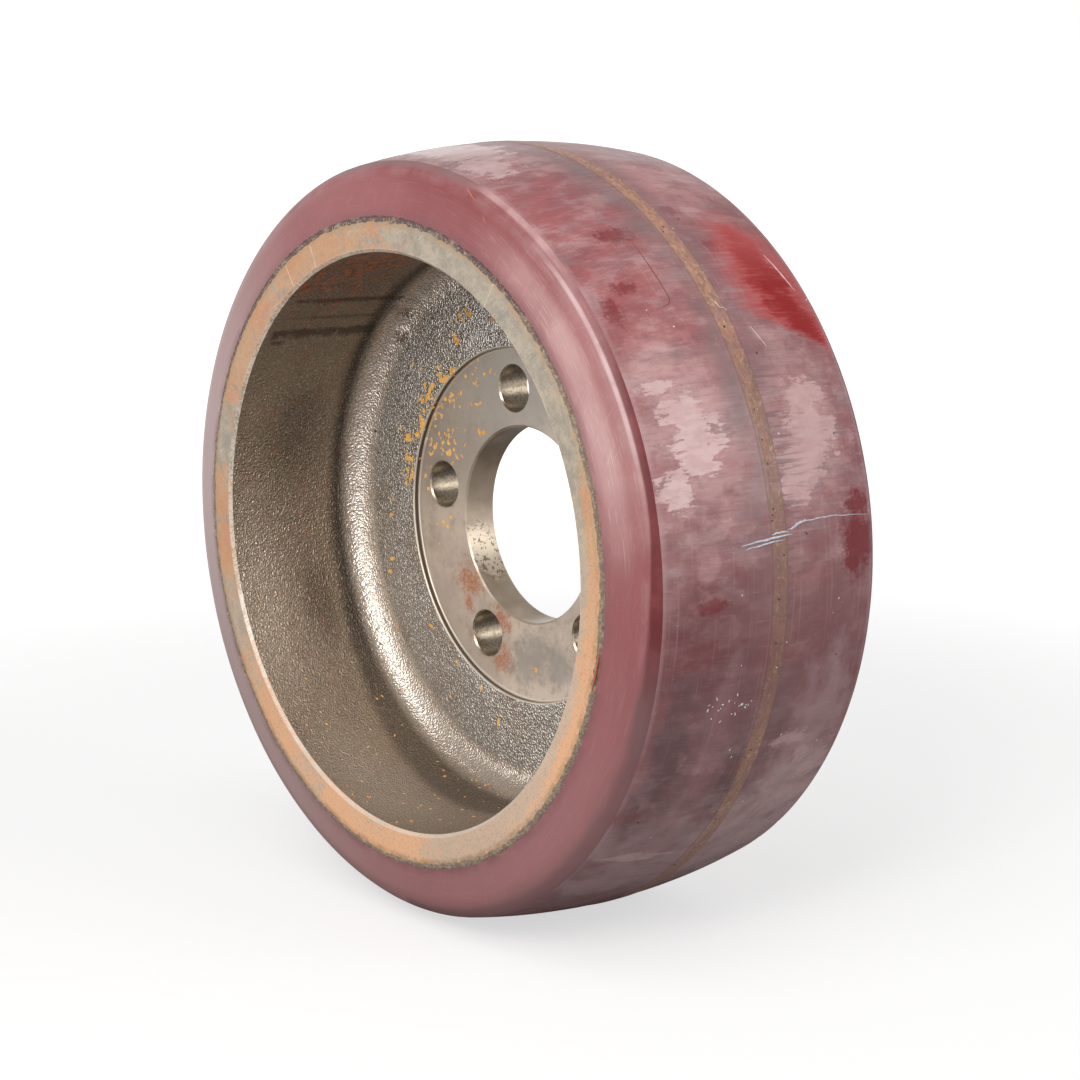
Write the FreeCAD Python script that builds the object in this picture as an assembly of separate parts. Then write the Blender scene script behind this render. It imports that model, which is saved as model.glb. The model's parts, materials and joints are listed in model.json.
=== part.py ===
import FreeCAD, Part
import math
import os

# Polyurethane drive wheel: a cast iron wheel centre with a polyurethane tread bonded round it.
# The wheel turns about Y. Y = 0 is its middle plane, and the deep dish opens towards -Y.
# All lengths are in millimetres, all angles in degrees.

# Rim of the wheel centre
rim_width = 101.0
rim_inner_diameter = 185.0
rim_wall = 11.0
rim_inner_chamfer = 1.0
bond_edge_chamfer_width = 2.2
bond_edge_chamfer_depth = 0.6

# Dished web of the wheel centre
dish_depth = 52.5
web_thickness = 16.2
dish_draft = 1.9
dish_fillet = 8.5

# Machined faces on both sides of the web
seat_diameter = 117.0
seat_depth = 2.2
seat_corner_radius = 0.6
seat_lip_radius = 0.5
back_seat_diameter = 117.0
back_seat_depth = 2.0

# Pilot bore and bolt circle
bore_diameter = 65.0
bore_chamfer = 0.6
bolt_count = 5
bolt_circle_diameter = 90.0
bolt_hole_diameter = 15.0
bolt_hole_chamfer = 0.5
bolt_circle_turn = -8.3

# Polyurethane tread
tread_thickness = 21.3
tread_edge_inset = 8.2
crown_drop = 4.2
side_taper = 12.0
shoulder_round_height = 8.3
parting_band_width = 6.0
parting_band_height = 0.2

WHEEL_AXIS = FreeCAD.Vector(0, 1, 0)
CENTRE = FreeCAD.Vector(0, 0, 0)

# The moulded shoulder takes at most this share of the tread's side
MOST_OF_SIDE = 0.9

# Radii and stations along the axis that both pieces share
half_width = rim_width / 2
bond_radius = rim_inner_diameter / 2 + rim_wall
bond_half_width = half_width - bond_edge_chamfer_depth

# Stations of the web along the axis
web_front = -half_width + dish_depth
web_back = web_front + web_thickness
seat_face = web_front + seat_depth
back_seat_face = web_back - back_seat_depth


def section_point(radius, station):
    """A point of the section, which lies in the XY plane with X as the radius."""
    return FreeCAD.Vector(radius, station, 0)


def rounded_outline(corners):
    """Closed wire through (radius, station, round) corners, with tangent arcs where round is above zero.

    A round never takes more than half of either side of its corner.
    """
    count = len(corners)
    points = [section_point(radius, station) for radius, station, corner_round in corners]
    entries = []
    exits = []
    arcs = []
    for index, corner in enumerate(points):
        before = points[index - 1] - corner
        after = points[(index + 1) % count] - corner
        wanted_round = corners[index][2]
        if wanted_round == 0:
            entries.append(corner)
            exits.append(corner)
            arcs.append(None)
            continue
        half_angle = before.getAngle(after) / 2
        room = min(before.Length, after.Length) / 2
        setback = min(wanted_round / math.tan(half_angle), room)
        corner_round = setback * math.tan(half_angle)
        inward = (before / before.Length + after / after.Length).normalize()
        nearest = corner + inward * (corner_round / math.sin(half_angle) - corner_round)
        entry = corner + before / before.Length * setback
        exit_point = corner + after / after.Length * setback
        entries.append(entry)
        exits.append(exit_point)
        arcs.append(Part.Arc(entry, nearest, exit_point).toShape())
    edges = []
    for index in range(count):
        if arcs[index]:
            edges.append(arcs[index])
        start = exits[index]
        end = entries[(index + 1) % count]
        edges.append(Part.LineSegment(start, end).toShape())
    return Part.Wire(edges)


def turned(outline):
    """The solid that a closed section makes when it turns about the wheel's axis."""
    return Part.Face(outline).revolve(CENTRE, WHEEL_AXIS, 360)


def hub_section():
    """Half section of the wheel centre, from the front of the bore outwards and back to it."""
    bore = bore_diameter / 2
    seat = seat_diameter / 2
    back_seat = back_seat_diameter / 2
    rim_inner = rim_inner_diameter / 2
    face_outer = bond_radius - bond_edge_chamfer_width
    narrowing = math.tan(math.radians(dish_draft))
    wall_front = rim_inner - (web_front + half_width) * narrowing
    wall_back = rim_inner - (half_width - web_back) * narrowing
    front = [
        (bore, seat_face + bore_chamfer, 0),
        (bore + bore_chamfer, seat_face, 0),
        (seat, seat_face, seat_corner_radius),
        (seat, web_front, seat_lip_radius),
        (wall_front, web_front, dish_fillet),
        (rim_inner, -half_width + rim_inner_chamfer, 0),
        (rim_inner + rim_inner_chamfer, -half_width, 0),
        (face_outer, -half_width, 0),
        (bond_radius, -bond_half_width, 0),
    ]
    back = [
        (bond_radius, bond_half_width, 0),
        (face_outer, half_width, 0),
        (rim_inner + rim_inner_chamfer, half_width, 0),
        (rim_inner, half_width - rim_inner_chamfer, 0),
        (wall_back, web_back, dish_fillet),
        (back_seat, web_back, seat_lip_radius),
        (back_seat, back_seat_face, seat_corner_radius),
        (bore + bore_chamfer, back_seat_face, 0),
        (bore, back_seat_face - bore_chamfer, 0),
    ]
    return rounded_outline(front + back)


def bolt_hole():
    """One through hole with both mouths chamfered, on the bolt circle straight above the axis."""
    hole = bolt_hole_diameter / 2
    mouth = hole + bolt_hole_chamfer
    middle = FreeCAD.Vector(0, 0, bolt_circle_diameter / 2)
    front_centre = middle + WHEEL_AXIS * seat_face
    back_centre = middle + WHEEL_AXIS * back_seat_face
    length = back_seat_face - seat_face
    shank = Part.makeCylinder(hole, length, front_centre, WHEEL_AXIS)
    front_mouth = Part.makeCone(mouth, hole, bolt_hole_chamfer, front_centre, WHEEL_AXIS)
    back_mouth = Part.makeCone(mouth, hole, bolt_hole_chamfer, back_centre, -WHEEL_AXIS)
    return shank.fuse([front_mouth, back_mouth])


def cast_iron_hub():
    """Wheel centre: rim, dished web, machined faces, pilot bore and bolt holes, cast in one piece."""
    hub = turned(hub_section())
    holes = []
    for index in range(bolt_count):
        hole = bolt_hole()
        hole.rotate(CENTRE, WHEEL_AXIS, bolt_circle_turn + index * 360 / bolt_count)
        holes.append(hole)
    return hub.cut(holes)


def tangent_arc(line_start, line_end, arc_end):
    """Arc that leaves a straight line at its end without a kink and finishes at arc_end."""
    along = (line_end - line_start).normalize()
    across = FreeCAD.Vector(-along.y, along.x, 0)
    chord = arc_end - line_end
    radius = chord.Length ** 2 / (2 * chord.dot(across))
    centre = line_end + across * radius
    outward = (line_end + arc_end) / 2 - centre
    middle = centre + outward.normalize() * abs(radius)
    return Part.Arc(line_end, middle, arc_end).toShape()


def crown_arc(crown_radius, top, start_station, end_station):
    """Arc of the crowned running surface between two stations, for a crown with the given top radius."""
    def on_crown(station):
        return section_point(top - crown_radius + math.sqrt(crown_radius ** 2 - station ** 2), station)
    middle_station = (start_station + end_station) / 2
    return Part.Arc(on_crown(start_station), on_crown(middle_station), on_crown(end_station)).toShape()


def tread_section():
    """Half section of the tread: bond line, tapered sides, moulded shoulders and a crown with its band."""
    crown_top = bond_radius + tread_thickness
    band_top = crown_top + parting_band_height
    half_band = parting_band_width / 2
    edge_station = half_width - tread_edge_inset
    edge_radius = crown_top - crown_drop
    crown_radius = (edge_station ** 2 + crown_drop ** 2) / (2 * crown_drop)
    round_height = min(shoulder_round_height, MOST_OF_SIDE * (edge_radius - bond_radius))
    side_end_radius = edge_radius - round_height
    side_fall = (side_end_radius - bond_radius) * math.tan(math.radians(side_taper))

    def shoulder(side):
        """Side face and moulded corner on one side of the wheel, from the bond line to the tread edge."""
        bond_edge = section_point(bond_radius, side * bond_half_width)
        side_end = section_point(side_end_radius, side * (bond_half_width - side_fall))
        tread_edge = section_point(edge_radius, side * edge_station)
        return [Part.LineSegment(bond_edge, side_end).toShape(), tangent_arc(bond_edge, side_end, tread_edge)]

    def band_step(side):
        """Small step from the running surface up to the parting band."""
        foot = crown_arc(crown_radius, crown_top, 0, side * half_band).Vertexes[-1].Point
        head = crown_arc(crown_radius, band_top, 0, side * half_band).Vertexes[-1].Point
        return Part.LineSegment(foot, head).toShape()

    edges = shoulder(-1)
    edges.append(crown_arc(crown_radius, crown_top, -edge_station, -half_band))
    edges.append(band_step(-1))
    edges.append(crown_arc(crown_radius, band_top, -half_band, half_band))
    edges.append(band_step(1))
    edges.append(crown_arc(crown_radius, crown_top, half_band, edge_station))
    edges += reversed(shoulder(1))
    bond_front = section_point(bond_radius, -bond_half_width)
    bond_back = section_point(bond_radius, bond_half_width)
    edges.append(Part.LineSegment(bond_back, bond_front).toShape())
    return Part.Wire(Part.__sortEdges__(edges))


def polyurethane_tread():
    """Polyurethane tyre, cast onto the outside of the rim."""
    return turned(tread_section())


os.makedirs("parts", exist_ok=True)
cast_iron_hub().exportStep("parts/cast_iron_hub.step")
polyurethane_tread().exportStep("parts/polyurethane_tread.step")
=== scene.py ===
import json
import math
import random

import bmesh
import bpy
import numpy as np
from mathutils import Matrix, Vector, noise


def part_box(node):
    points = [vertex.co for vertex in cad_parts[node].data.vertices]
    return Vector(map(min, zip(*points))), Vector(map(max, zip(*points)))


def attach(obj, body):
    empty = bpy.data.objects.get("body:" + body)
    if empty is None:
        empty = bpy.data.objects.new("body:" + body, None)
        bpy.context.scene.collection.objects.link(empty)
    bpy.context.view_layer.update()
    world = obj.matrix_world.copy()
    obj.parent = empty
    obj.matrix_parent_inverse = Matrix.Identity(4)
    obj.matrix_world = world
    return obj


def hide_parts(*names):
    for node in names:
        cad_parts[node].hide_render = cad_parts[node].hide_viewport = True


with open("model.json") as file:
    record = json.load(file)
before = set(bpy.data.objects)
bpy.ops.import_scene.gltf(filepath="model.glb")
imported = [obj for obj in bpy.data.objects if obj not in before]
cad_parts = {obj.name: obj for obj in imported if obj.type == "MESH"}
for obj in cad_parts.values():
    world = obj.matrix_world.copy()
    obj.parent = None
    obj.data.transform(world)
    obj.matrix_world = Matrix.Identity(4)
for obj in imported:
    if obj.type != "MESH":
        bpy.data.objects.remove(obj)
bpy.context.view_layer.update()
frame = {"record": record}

# Worn polyurethane drive wheel: the finished looks of the cast iron centre and its tread.
# Lengths are in metres, and MM turns millimetres into them. The wheel turns about Y,
# angles run round it from Z towards X, and stations are places along Y.
MM = 0.001

# Sizes that the frame gives
mounts = {mount["name"]: mount for mount in frame["record"]["mounts"]}
hub_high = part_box("cast_iron_hub")[1]
tread_low, tread_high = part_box("polyurethane_tread")
half_width = hub_high[1]
bond_radius = hub_high[0]
bond_half_width = tread_high[1]
band_top = tread_high[0]
bore_radius = mounts["pilot_bore"]["dims"]["r_mm"] * MM
bolt_circle_radius = mounts["bolt_circle"]["dims"]["pcd_mm"] / 2 * MM
bolt_hole_radius = mounts["bolt_circle"]["dims"]["hole_r_mm"] * MM
bolt_count = mounts["bolt_circle"]["dims"]["count"]
seat_station = mounts["seat_face"]["pos_m"][1]
back_seat_station = mounts["back_seat_face"]["pos_m"][1]

# Sizes of the casting's section
rim_inner_radius = 92.5 * MM
rim_chamfer = 1.0 * MM
face_outer_radius = 101.3 * MM
web_front = 2.0 * MM
web_back = 18.2 * MM
dish_draft = math.tan(math.radians(1.9))
dish_fillet = 8.5 * MM
seat_radius = 58.5 * MM
seat_corner = 0.6 * MM
seat_lip = 0.5 * MM
edge_chamfer = 0.5 * MM
bolt_circle_turn = -8.3

# Sizes of the tread's section
band_height = 0.2 * MM
half_band = 3.0 * MM
tread_edge_station = 42.3 * MM
crown_drop = 4.2 * MM
side_taper = math.tan(math.radians(12.0))
shoulder_height = 8.3 * MM

# Steps round the wheel of each turned piece
HUB_STEPS = 664
TREAD_STEPS = 720
RESIDUE_STEPS = 1080


def srgb(red, green, blue):
    """Linear colour of three 0 to 255 picture values."""
    linear = []
    for value in (red, green, blue):
        share = value / 255
        linear.append(share / 12.92 if share <= 0.04045 else ((share + 0.055) / 1.055) ** 2.4)
    return (*linear, 1.0)


def radial(angle):
    """Unit vector away from the axis at an angle in degrees."""
    turn = math.radians(angle)
    return Vector((math.sin(turn), 0, math.cos(turn)))


def on_wheel(angle, station, radius):
    """Point at an angle in degrees, a station and a radius."""
    return radial(angle) * radius + Vector((0, station, 0))


def placed(places):
    """Points at places given as an angle, a station and a radius, in degrees and millimetres."""
    return [on_wheel(angle, station * MM, radius * MM) for angle, station, radius in places]


def radius_of(point):
    """Distance of a point from the wheel's axis."""
    return math.hypot(point.x, point.z)


def turn_of(point):
    """Angle of a point round the axis, in degrees."""
    return math.degrees(math.atan2(point.x, point.z))


# Sections

def arc_points(centre, start, end, steps):
    """Points of the shorter arc from start to end about centre, both ends included."""
    first = math.atan2(start[1] - centre[1], start[0] - centre[0])
    last = math.atan2(end[1] - centre[1], end[0] - centre[0])
    sweep = (last - first + math.pi) % (2 * math.pi) - math.pi
    radius = math.dist(centre, start)
    points = []
    for step in range(steps + 1):
        angle = first + sweep * step / steps
        points.append((centre[0] + radius * math.cos(angle), centre[1] + radius * math.sin(angle)))
    return points


def rounded_section(corners):
    """Closed list of (radius, station, finish) points of a section with rounded corners.

    A corner is a radius, a station, a round, the steps of its arc and the finish of the line after it.
    The round itself keeps the finish of the line before.
    """
    section = []
    finish_before = corners[-1][4]
    for index, (radius, station, corner_round, steps, finish) in enumerate(corners):
        corner = Vector((radius, station))
        if corner_round == 0:
            section.append((radius, station, finish))
        else:
            before = (Vector(corners[index - 1][:2]) - corner).normalized()
            after = (Vector(corners[(index + 1) % len(corners)][:2]) - corner).normalized()
            half_angle = before.angle(after) / 2
            setback = corner_round / math.tan(half_angle)
            centre = corner + (before + after).normalized() * (corner_round / math.sin(half_angle))
            arc = arc_points(centre, corner + before * setback, corner + after * setback, steps)
            section += [(*point, finish_before) for point in arc[:-1]]
            section.append((*arc[-1], finish))
        finish_before = finish
    return section


def filled_in(section, spacing):
    """The section with more points on its long lines; spacing(point) is the longest step there."""
    points = []
    for start, end in zip(section, section[1:] + section[:1]):
        middle = ((start[0] + end[0]) / 2, (start[1] + end[1]) / 2)
        steps = max(1, math.ceil(math.dist(start[:2], end[:2]) / spacing(middle)))
        for step in range(steps):
            share = step / steps
            radius = start[0] + (end[0] - start[0]) * share
            station = start[1] + (end[1] - start[1]) * share
            points.append((radius, station, start[2]))
    return points


# A step longer than any line of the sections
WHOLE_LINE = 200 * MM

# Finishes of the casting and of the tread, by their place in each piece's list of materials
CAST, TURNED, RIM_END = range(3)
MOULDED, RUNNING = range(2)


def hub_section():
    """Closed section of the casting, from the front of the bore outwards and back to it."""
    wall_front = rim_inner_radius - (web_front + half_width) * dish_draft
    wall_back = rim_inner_radius - (half_width - web_back) * dish_draft
    corners = [
        (bore_radius, seat_station + edge_chamfer, 0, 0, TURNED),
        (bore_radius + edge_chamfer, seat_station, 0, 0, TURNED),
        (seat_radius, seat_station, seat_corner, 5, TURNED),
        (seat_radius, web_front, seat_lip, 5, CAST),
        (wall_front, web_front, dish_fillet, 13, CAST),
        (rim_inner_radius, -half_width + rim_chamfer, 0, 0, RIM_END),
        (rim_inner_radius + rim_chamfer, -half_width, 0, 0, RIM_END),
        (face_outer_radius, -half_width, 0, 0, RIM_END),
        (bond_radius, -bond_half_width, 0, 0, CAST),
        (bond_radius, bond_half_width, 0, 0, RIM_END),
        (face_outer_radius, half_width, 0, 0, RIM_END),
        (rim_inner_radius + rim_chamfer, half_width, 0, 0, RIM_END),
        (rim_inner_radius, half_width - rim_chamfer, 0, 0, CAST),
        (wall_back, web_back, dish_fillet, 9, CAST),
        (seat_radius, web_back, seat_lip, 3, TURNED),
        (seat_radius, back_seat_station, seat_corner, 3, TURNED),
        (bore_radius + edge_chamfer, back_seat_station, 0, 0, TURNED),
        (bore_radius, back_seat_station - edge_chamfer, 0, 0, TURNED),
    ]

    def spacing(point):
        """Turned and hidden lines stay whole; the cast skin is finer in the deep dish than behind it."""
        radius, station = point
        if radius > bond_radius - MM or radius < seat_radius:
            return WHOLE_LINE
        return 1.15 * MM if station < web_front + MM else 2.2 * MM

    return filled_in(rounded_section(corners), spacing)


def crown_at(station, top):
    """Radius of the crowned running surface at a station, for a crown with that top radius."""
    crown_radius = (tread_edge_station ** 2 + crown_drop ** 2) / (2 * crown_drop)
    return top - crown_radius + math.sqrt(crown_radius ** 2 - station ** 2)


def tread_section():
    """Closed section of the tread, from the front of the bond line over the crown to its back."""
    crown_top = band_top - band_height
    edge_radius = crown_top - crown_drop
    side_end_radius = edge_radius - shoulder_height
    side_end_station = bond_half_width - (side_end_radius - bond_radius) * side_taper

    # Moulded shoulder: an arc that leaves the side without a kink and ends at the tread edge
    along = Vector((1, side_taper)).normalized()
    across = Vector((along.y, -along.x))
    side_end = Vector((side_end_radius, -side_end_station))
    edge = Vector((edge_radius, -tread_edge_station))
    chord = edge - side_end
    centre = side_end + across * (chord.length_squared / (2 * chord.dot(across)))
    shoulder = arc_points(centre, side_end, edge, 15)[:-1]

    # Small break where the shoulder meets the crown
    edge_break = 0.25 * MM
    break_end = -tread_edge_station + edge_break

    # The parting band's front step is worn to a slope, and its back step is crisp
    worn_foot = -half_band - 0.5 * MM
    worn_head = -half_band + 0.4 * MM
    crisp_head = half_band - 0.08 * MM
    crisp_foot = half_band + 0.05 * MM
    half = [
        (bond_radius, -bond_half_width),
        *shoulder,
        (edge_radius - 0.02 * MM, -tread_edge_station + 0.05 * MM),
        (crown_at(break_end, crown_top), break_end),
        (crown_at(worn_foot, crown_top), worn_foot),
        (crown_at(worn_head, band_top), worn_head),
    ]
    back = [(radius, -station) for radius, station in reversed(half)]
    back[0] = (crown_at(crisp_head, band_top), crisp_head)
    back[1] = (crown_at(crisp_foot, crown_top), crisp_foot)

    def spacing(point):
        on_bond_line = point[0] < bond_radius + MM and abs(point[1]) < 40 * MM
        return WHOLE_LINE if on_bond_line else 1.12 * MM

    def finish_at(radius, station):
        on_crown = -tread_edge_station <= station < tread_edge_station - 0.1 * MM
        return RUNNING if on_crown and radius > edge_radius - 0.1 * MM else MOULDED

    section = filled_in([(*point, finish_at(*point)) for point in half + back], spacing)
    crowned = []
    for radius, station, finish in section:
        if abs(station) < tread_edge_station - edge_break and radius > edge_radius:
            top = band_top if -half_band < station < half_band else crown_top
            beside_step = abs(abs(station) - half_band) <= 0.6 * MM
            if not beside_step:
                radius = crown_at(station, top)
        crowned.append((radius, station, finish))
    return crowned


# Meshes

def new_piece(name, mesh, *materials):
    """Object in the scene for a mesh, with its materials."""
    piece = bpy.data.objects.new(name, mesh)
    bpy.context.scene.collection.objects.link(piece)
    for material in materials:
        mesh.materials.append(material)
    return piece


def smooth_by_angle(mesh, limit):
    """Smooth shading, with the edges over limit degrees left sharp."""
    mesh.polygons.foreach_set("use_smooth", [True] * len(mesh.polygons))
    mesh.set_sharp_from_angle(angle=math.radians(limit))


def evaluated_mesh(carrier):
    """New mesh of an object as its modifiers or its curve's thickness make it."""
    bpy.context.view_layer.update()
    depsgraph = bpy.context.evaluated_depsgraph_get()
    return bpy.data.meshes.new_from_object(carrier.evaluated_get(depsgraph))


def baked(piece):
    """Makes a piece's modifiers part of its mesh and takes them off."""
    mesh = evaluated_mesh(piece)
    piece.modifiers.clear()
    piece.data = mesh
    mesh.name = piece.name


def ring_mesh(name, points, steps, count, flipped):
    """Closed ring of quads through steps rows of count points each, inside out where flipped is True."""
    faces = []
    for step in range(steps):
        row = step * count
        next_row = (step + 1) % steps * count
        for index in range(count):
            after = (index + 1) % count
            face = (row + index, row + after, next_row + after, next_row + index)
            faces.append(face[::-1] if flipped else face)
    mesh = bpy.data.meshes.new(name)
    mesh.from_pydata(points, [], faces)
    return mesh


def turned_mesh(name, section, steps, raised):
    """Closed mesh that a section makes round the axis; raised(point) lifts each point along its normal."""
    outline = np.array([point[:2] for point in section])
    finishes = [point[2] for point in section]
    count = len(outline)
    tangent = np.roll(outline, -1, axis=0) - np.roll(outline, 1, axis=0)
    tangent /= np.linalg.norm(tangent, axis=1)[:, None]
    normal = np.c_[tangent[:, 1], -tangent[:, 0]]
    turn = np.arange(steps) * 2 * math.pi / steps
    sines = np.sin(turn)[:, None]
    cosines = np.cos(turn)[:, None]

    def swept(pairs):
        wide = np.broadcast_to(pairs[:, 1], (steps, count))
        return np.stack([sines * pairs[:, 0], wide, cosines * pairs[:, 0]], axis=2).reshape(-1, 3)

    after = np.roll(outline, -1, axis=0)
    signed_area = np.sum(outline[:, 0] * after[:, 1] - after[:, 0] * outline[:, 1])
    outward = np.sign(signed_area)
    points = swept(outline)
    normals = swept(outward * normal)
    lift = np.array([raised(Vector(point)) for point in points])
    points = points + normals * lift[:, None]
    mesh = ring_mesh(name, points.tolist(), steps, count, outward < 0)
    mesh.polygons.foreach_set("material_index", finishes * steps)
    return mesh


# Materials

# How far apart the noise fields of two seeds lie, in cells
SEED_STEP = (7.3, 3.1, 5.7)

# Inputs of the shader, by the short names that the materials give them
SHADER_INPUTS = {
    "rough": "Roughness",
    "metal": "Metallic",
    "normal": "Normal",
    "shine": "Specular IOR Level",
}


class Graph:
    """Builds the nodes of a tree with plain calls. A value is a number, a colour or a socket."""

    def __init__(self, tree):
        self.tree = tree

    def feed(self, socket, value):
        if isinstance(value, bpy.types.NodeSocket):
            self.tree.links.new(value, socket)
        else:
            socket.default_value = value

    def node(self, kind, inputs=None, **settings):
        """New node with its settings; inputs are values by the name or the number of their socket."""
        node = self.tree.nodes.new(kind)
        for key, value in settings.items():
            setattr(node, key, value)
        for key, value in (inputs or {}).items():
            self.feed(node.inputs[key], value)
        return node

    def calc(self, operation, *values):
        return self.node("ShaderNodeMath", dict(enumerate(values)), operation=operation).outputs[0]

    def gathered(self, operation, values):
        """One value from many, worked out two at a time."""
        total = values[0]
        for value in values[1:]:
            total = self.calc(operation, total, value)
        return total

    def add(self, *values):
        return self.gathered("ADD", values)

    def times(self, *values):
        return self.gathered("MULTIPLY", values)

    def most(self, *values):
        return self.gathered("MAXIMUM", values)

    def vector(self, operation, *values, result="Vector"):
        node = self.node("ShaderNodeVectorMath", dict(enumerate(values)), operation=operation)
        return node.outputs[result]

    def length(self, vector):
        return self.vector("LENGTH", vector, result="Value")

    def together(self, *values):
        """Vector of three numbers."""
        return self.node("ShaderNodeCombineXYZ", dict(enumerate(values))).outputs[0]

    def ramp(self, value, low, high, bottom=0.0, top=1.0, kind="SMOOTHSTEP"):
        """Rise from bottom to top as value goes from low to high."""
        inputs = dict(enumerate((value, low, high, bottom, top)))
        return self.node("ShaderNodeMapRange", inputs, interpolation_type=kind).outputs[0]

    def between(self, value, start, full, fading, end):
        """Rise from 0 at start to 1 at full, and fall from 1 at fading to 0 at end."""
        return self.times(self.ramp(value, start, full), self.ramp(value, end, fading))

    def number_mix(self, share, first, second):
        """Number between first, at share 0, and second, at share 1."""
        return self.node("ShaderNodeMix", {0: share, 2: first, 3: second}, data_type="FLOAT").outputs[0]


class Finish(Graph):
    """One material of the wheel, with the places that set its marks and the colour laid so far.

    Colours are picture values from 0 to 255, and cells, widths and half sizes are in millimetres.
    """

    def __init__(self, name):
        self.material = bpy.data.materials.new(name)
        self.material.use_nodes = True
        super().__init__(self.material.node_tree)
        self.surface = self.tree.nodes["Principled BSDF"]
        self.place = self.node("ShaderNodeTexCoord").outputs["Object"]
        parts = self.node("ShaderNodeSeparateXYZ", {0: self.place}).outputs
        self.station = parts["Y"]
        self.turn = self.times(self.calc("ARCTAN2", parts["X"], parts["Z"]), 180 / math.pi)
        self.off_middle = self.calc("ABSOLUTE", self.station)
        self.radius = self.length(self.vector("MULTIPLY", self.place, (1, 0, 1)))
        self.colour = None

    def mix(self, share, first, second):
        """Colour between first, at share 0, and second, at share 1."""
        inputs = {0: share}
        for index, value in ((6, first), (7, second)):
            inputs[index] = srgb(*value) if isinstance(value, tuple) else value
        return self.node("ShaderNodeMix", inputs, data_type="RGBA").outputs[2]

    def coat(self, tint, *shares):
        """Lays a tint over the colour so far, as strongly as its shares, multiplied, say."""
        self.colour = self.mix(self.times(*shares), self.colour, tint)

    def cloud(self, places, detail, rough):
        """Noise from about 0 to 1 over a field of places, with patches of about one unit."""
        inputs = {"Vector": places, "Scale": 1.0, "Detail": detail, "Roughness": rough}
        return self.node("ShaderNodeTexNoise", inputs).outputs["Fac"]

    def noise(self, cell, seed, detail=2.0, rough=0.5):
        """Noise with patches of about one cell: one size, or a pair for round the wheel and along it."""
        around, along = cell if isinstance(cell, tuple) else (cell, cell)
        scale = (1 / (around * MM), 1 / (along * MM), 1 / (around * MM))
        shift = tuple(seed * step for step in SEED_STEP)
        return self.cloud(self.vector("MULTIPLY_ADD", self.place, scale, shift), detail, rough)

    def polar_noise(self, around, outward, at_radius, seed, detail=2.0, rough=0.5):
        """Noise with its cells lined up round and out from the axis; around is true at one radius."""
        direction = self.vector("DIVIDE", self.place, self.together(self.radius, 1.0, self.radius))
        reach = at_radius / around
        shift = (seed * SEED_STEP[0], 0, seed * SEED_STEP[2])
        flat = self.vector("MULTIPLY_ADD", direction, (reach, 0, reach), shift)
        level = self.together(0.0, self.times(self.radius, 1 / (outward * MM)), 0.0)
        return self.cloud(self.vector("ADD", flat, level), detail, rough)

    def ahead(self, direction):
        """How far a point lies from the wheel's centre along a direction."""
        return self.vector("DOT_PRODUCT", self.place, direction, result="Value")

    def strokes(self, turn, thin, long, seed):
        """Noise in straight strokes over the wheel's side; turn is their direction in degrees."""
        along = Vector((math.cos(math.radians(turn)), 0, math.sin(math.radians(turn))))
        across = Vector((-along.z, 0, along.x))
        places = [self.ahead(along / (long * MM)), self.ahead(across / (thin * MM)), seed * SEED_STEP[0]]
        return self.cloud(self.together(*places), 2.0, 0.5)

    def nearness(self, marks):
        """1 at the middle of the nearest of some marks, 0 at its half size and below 0 outside it.

        A mark is an angle, a station, a radius and its half sizes round the wheel and along it.
        """
        nearest = None
        for angle, station, radius, around, along in marks:
            offset = self.vector("SUBTRACT", self.place, on_wheel(angle, station * MM, radius * MM))
            scale = (1 / (around * MM), 1 / (along * MM), 1 / (around * MM))
            reach = self.length(self.vector("MULTIPLY", offset, scale))
            nearest = reach if nearest is None else self.calc("MINIMUM", nearest, reach)
        return self.calc("SUBTRACT", 1.0, nearest)

    def patches(self, marks, ragged, soft):
        """1 inside some marks and 0 outside, with edges that a ragged field moves and soft widens."""
        return self.ramp(self.add(self.nearness(marks), ragged), -soft, soft)

    def towards(self, angle):
        """Cosine of the angle between a point of the wheel and a direction from the axis."""
        return self.calc("DIVIDE", self.ahead(radial(angle)), self.radius)

    def radial_line(self, angle, width):
        """1 on a straight line out from the axis at an angle."""
        aside = self.calc("ABSOLUTE", self.ahead(radial(angle + 90)))
        this_side = self.ramp(self.towards(angle), 0.0, 0.5)
        return self.times(self.ramp(aside, width / 2 * MM, width / 4 * MM), this_side)

    def bump(self, height, distance, strength=1.0):
        """Normal bent by a height field, which stands distance high where it is 1."""
        inputs = {"Height": height, "Distance": distance * MM, "Strength": strength}
        return self.node("ShaderNodeBump", inputs).outputs["Normal"]

    def finish(self, **values):
        """The finished material, with the colour laid so far and the other values on its shader."""
        self.feed(self.surface.inputs["Base Color"], self.colour)
        for key, value in values.items():
            self.feed(self.surface.inputs[SHADER_INPUTS[key]], value)
        return self.material


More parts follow.
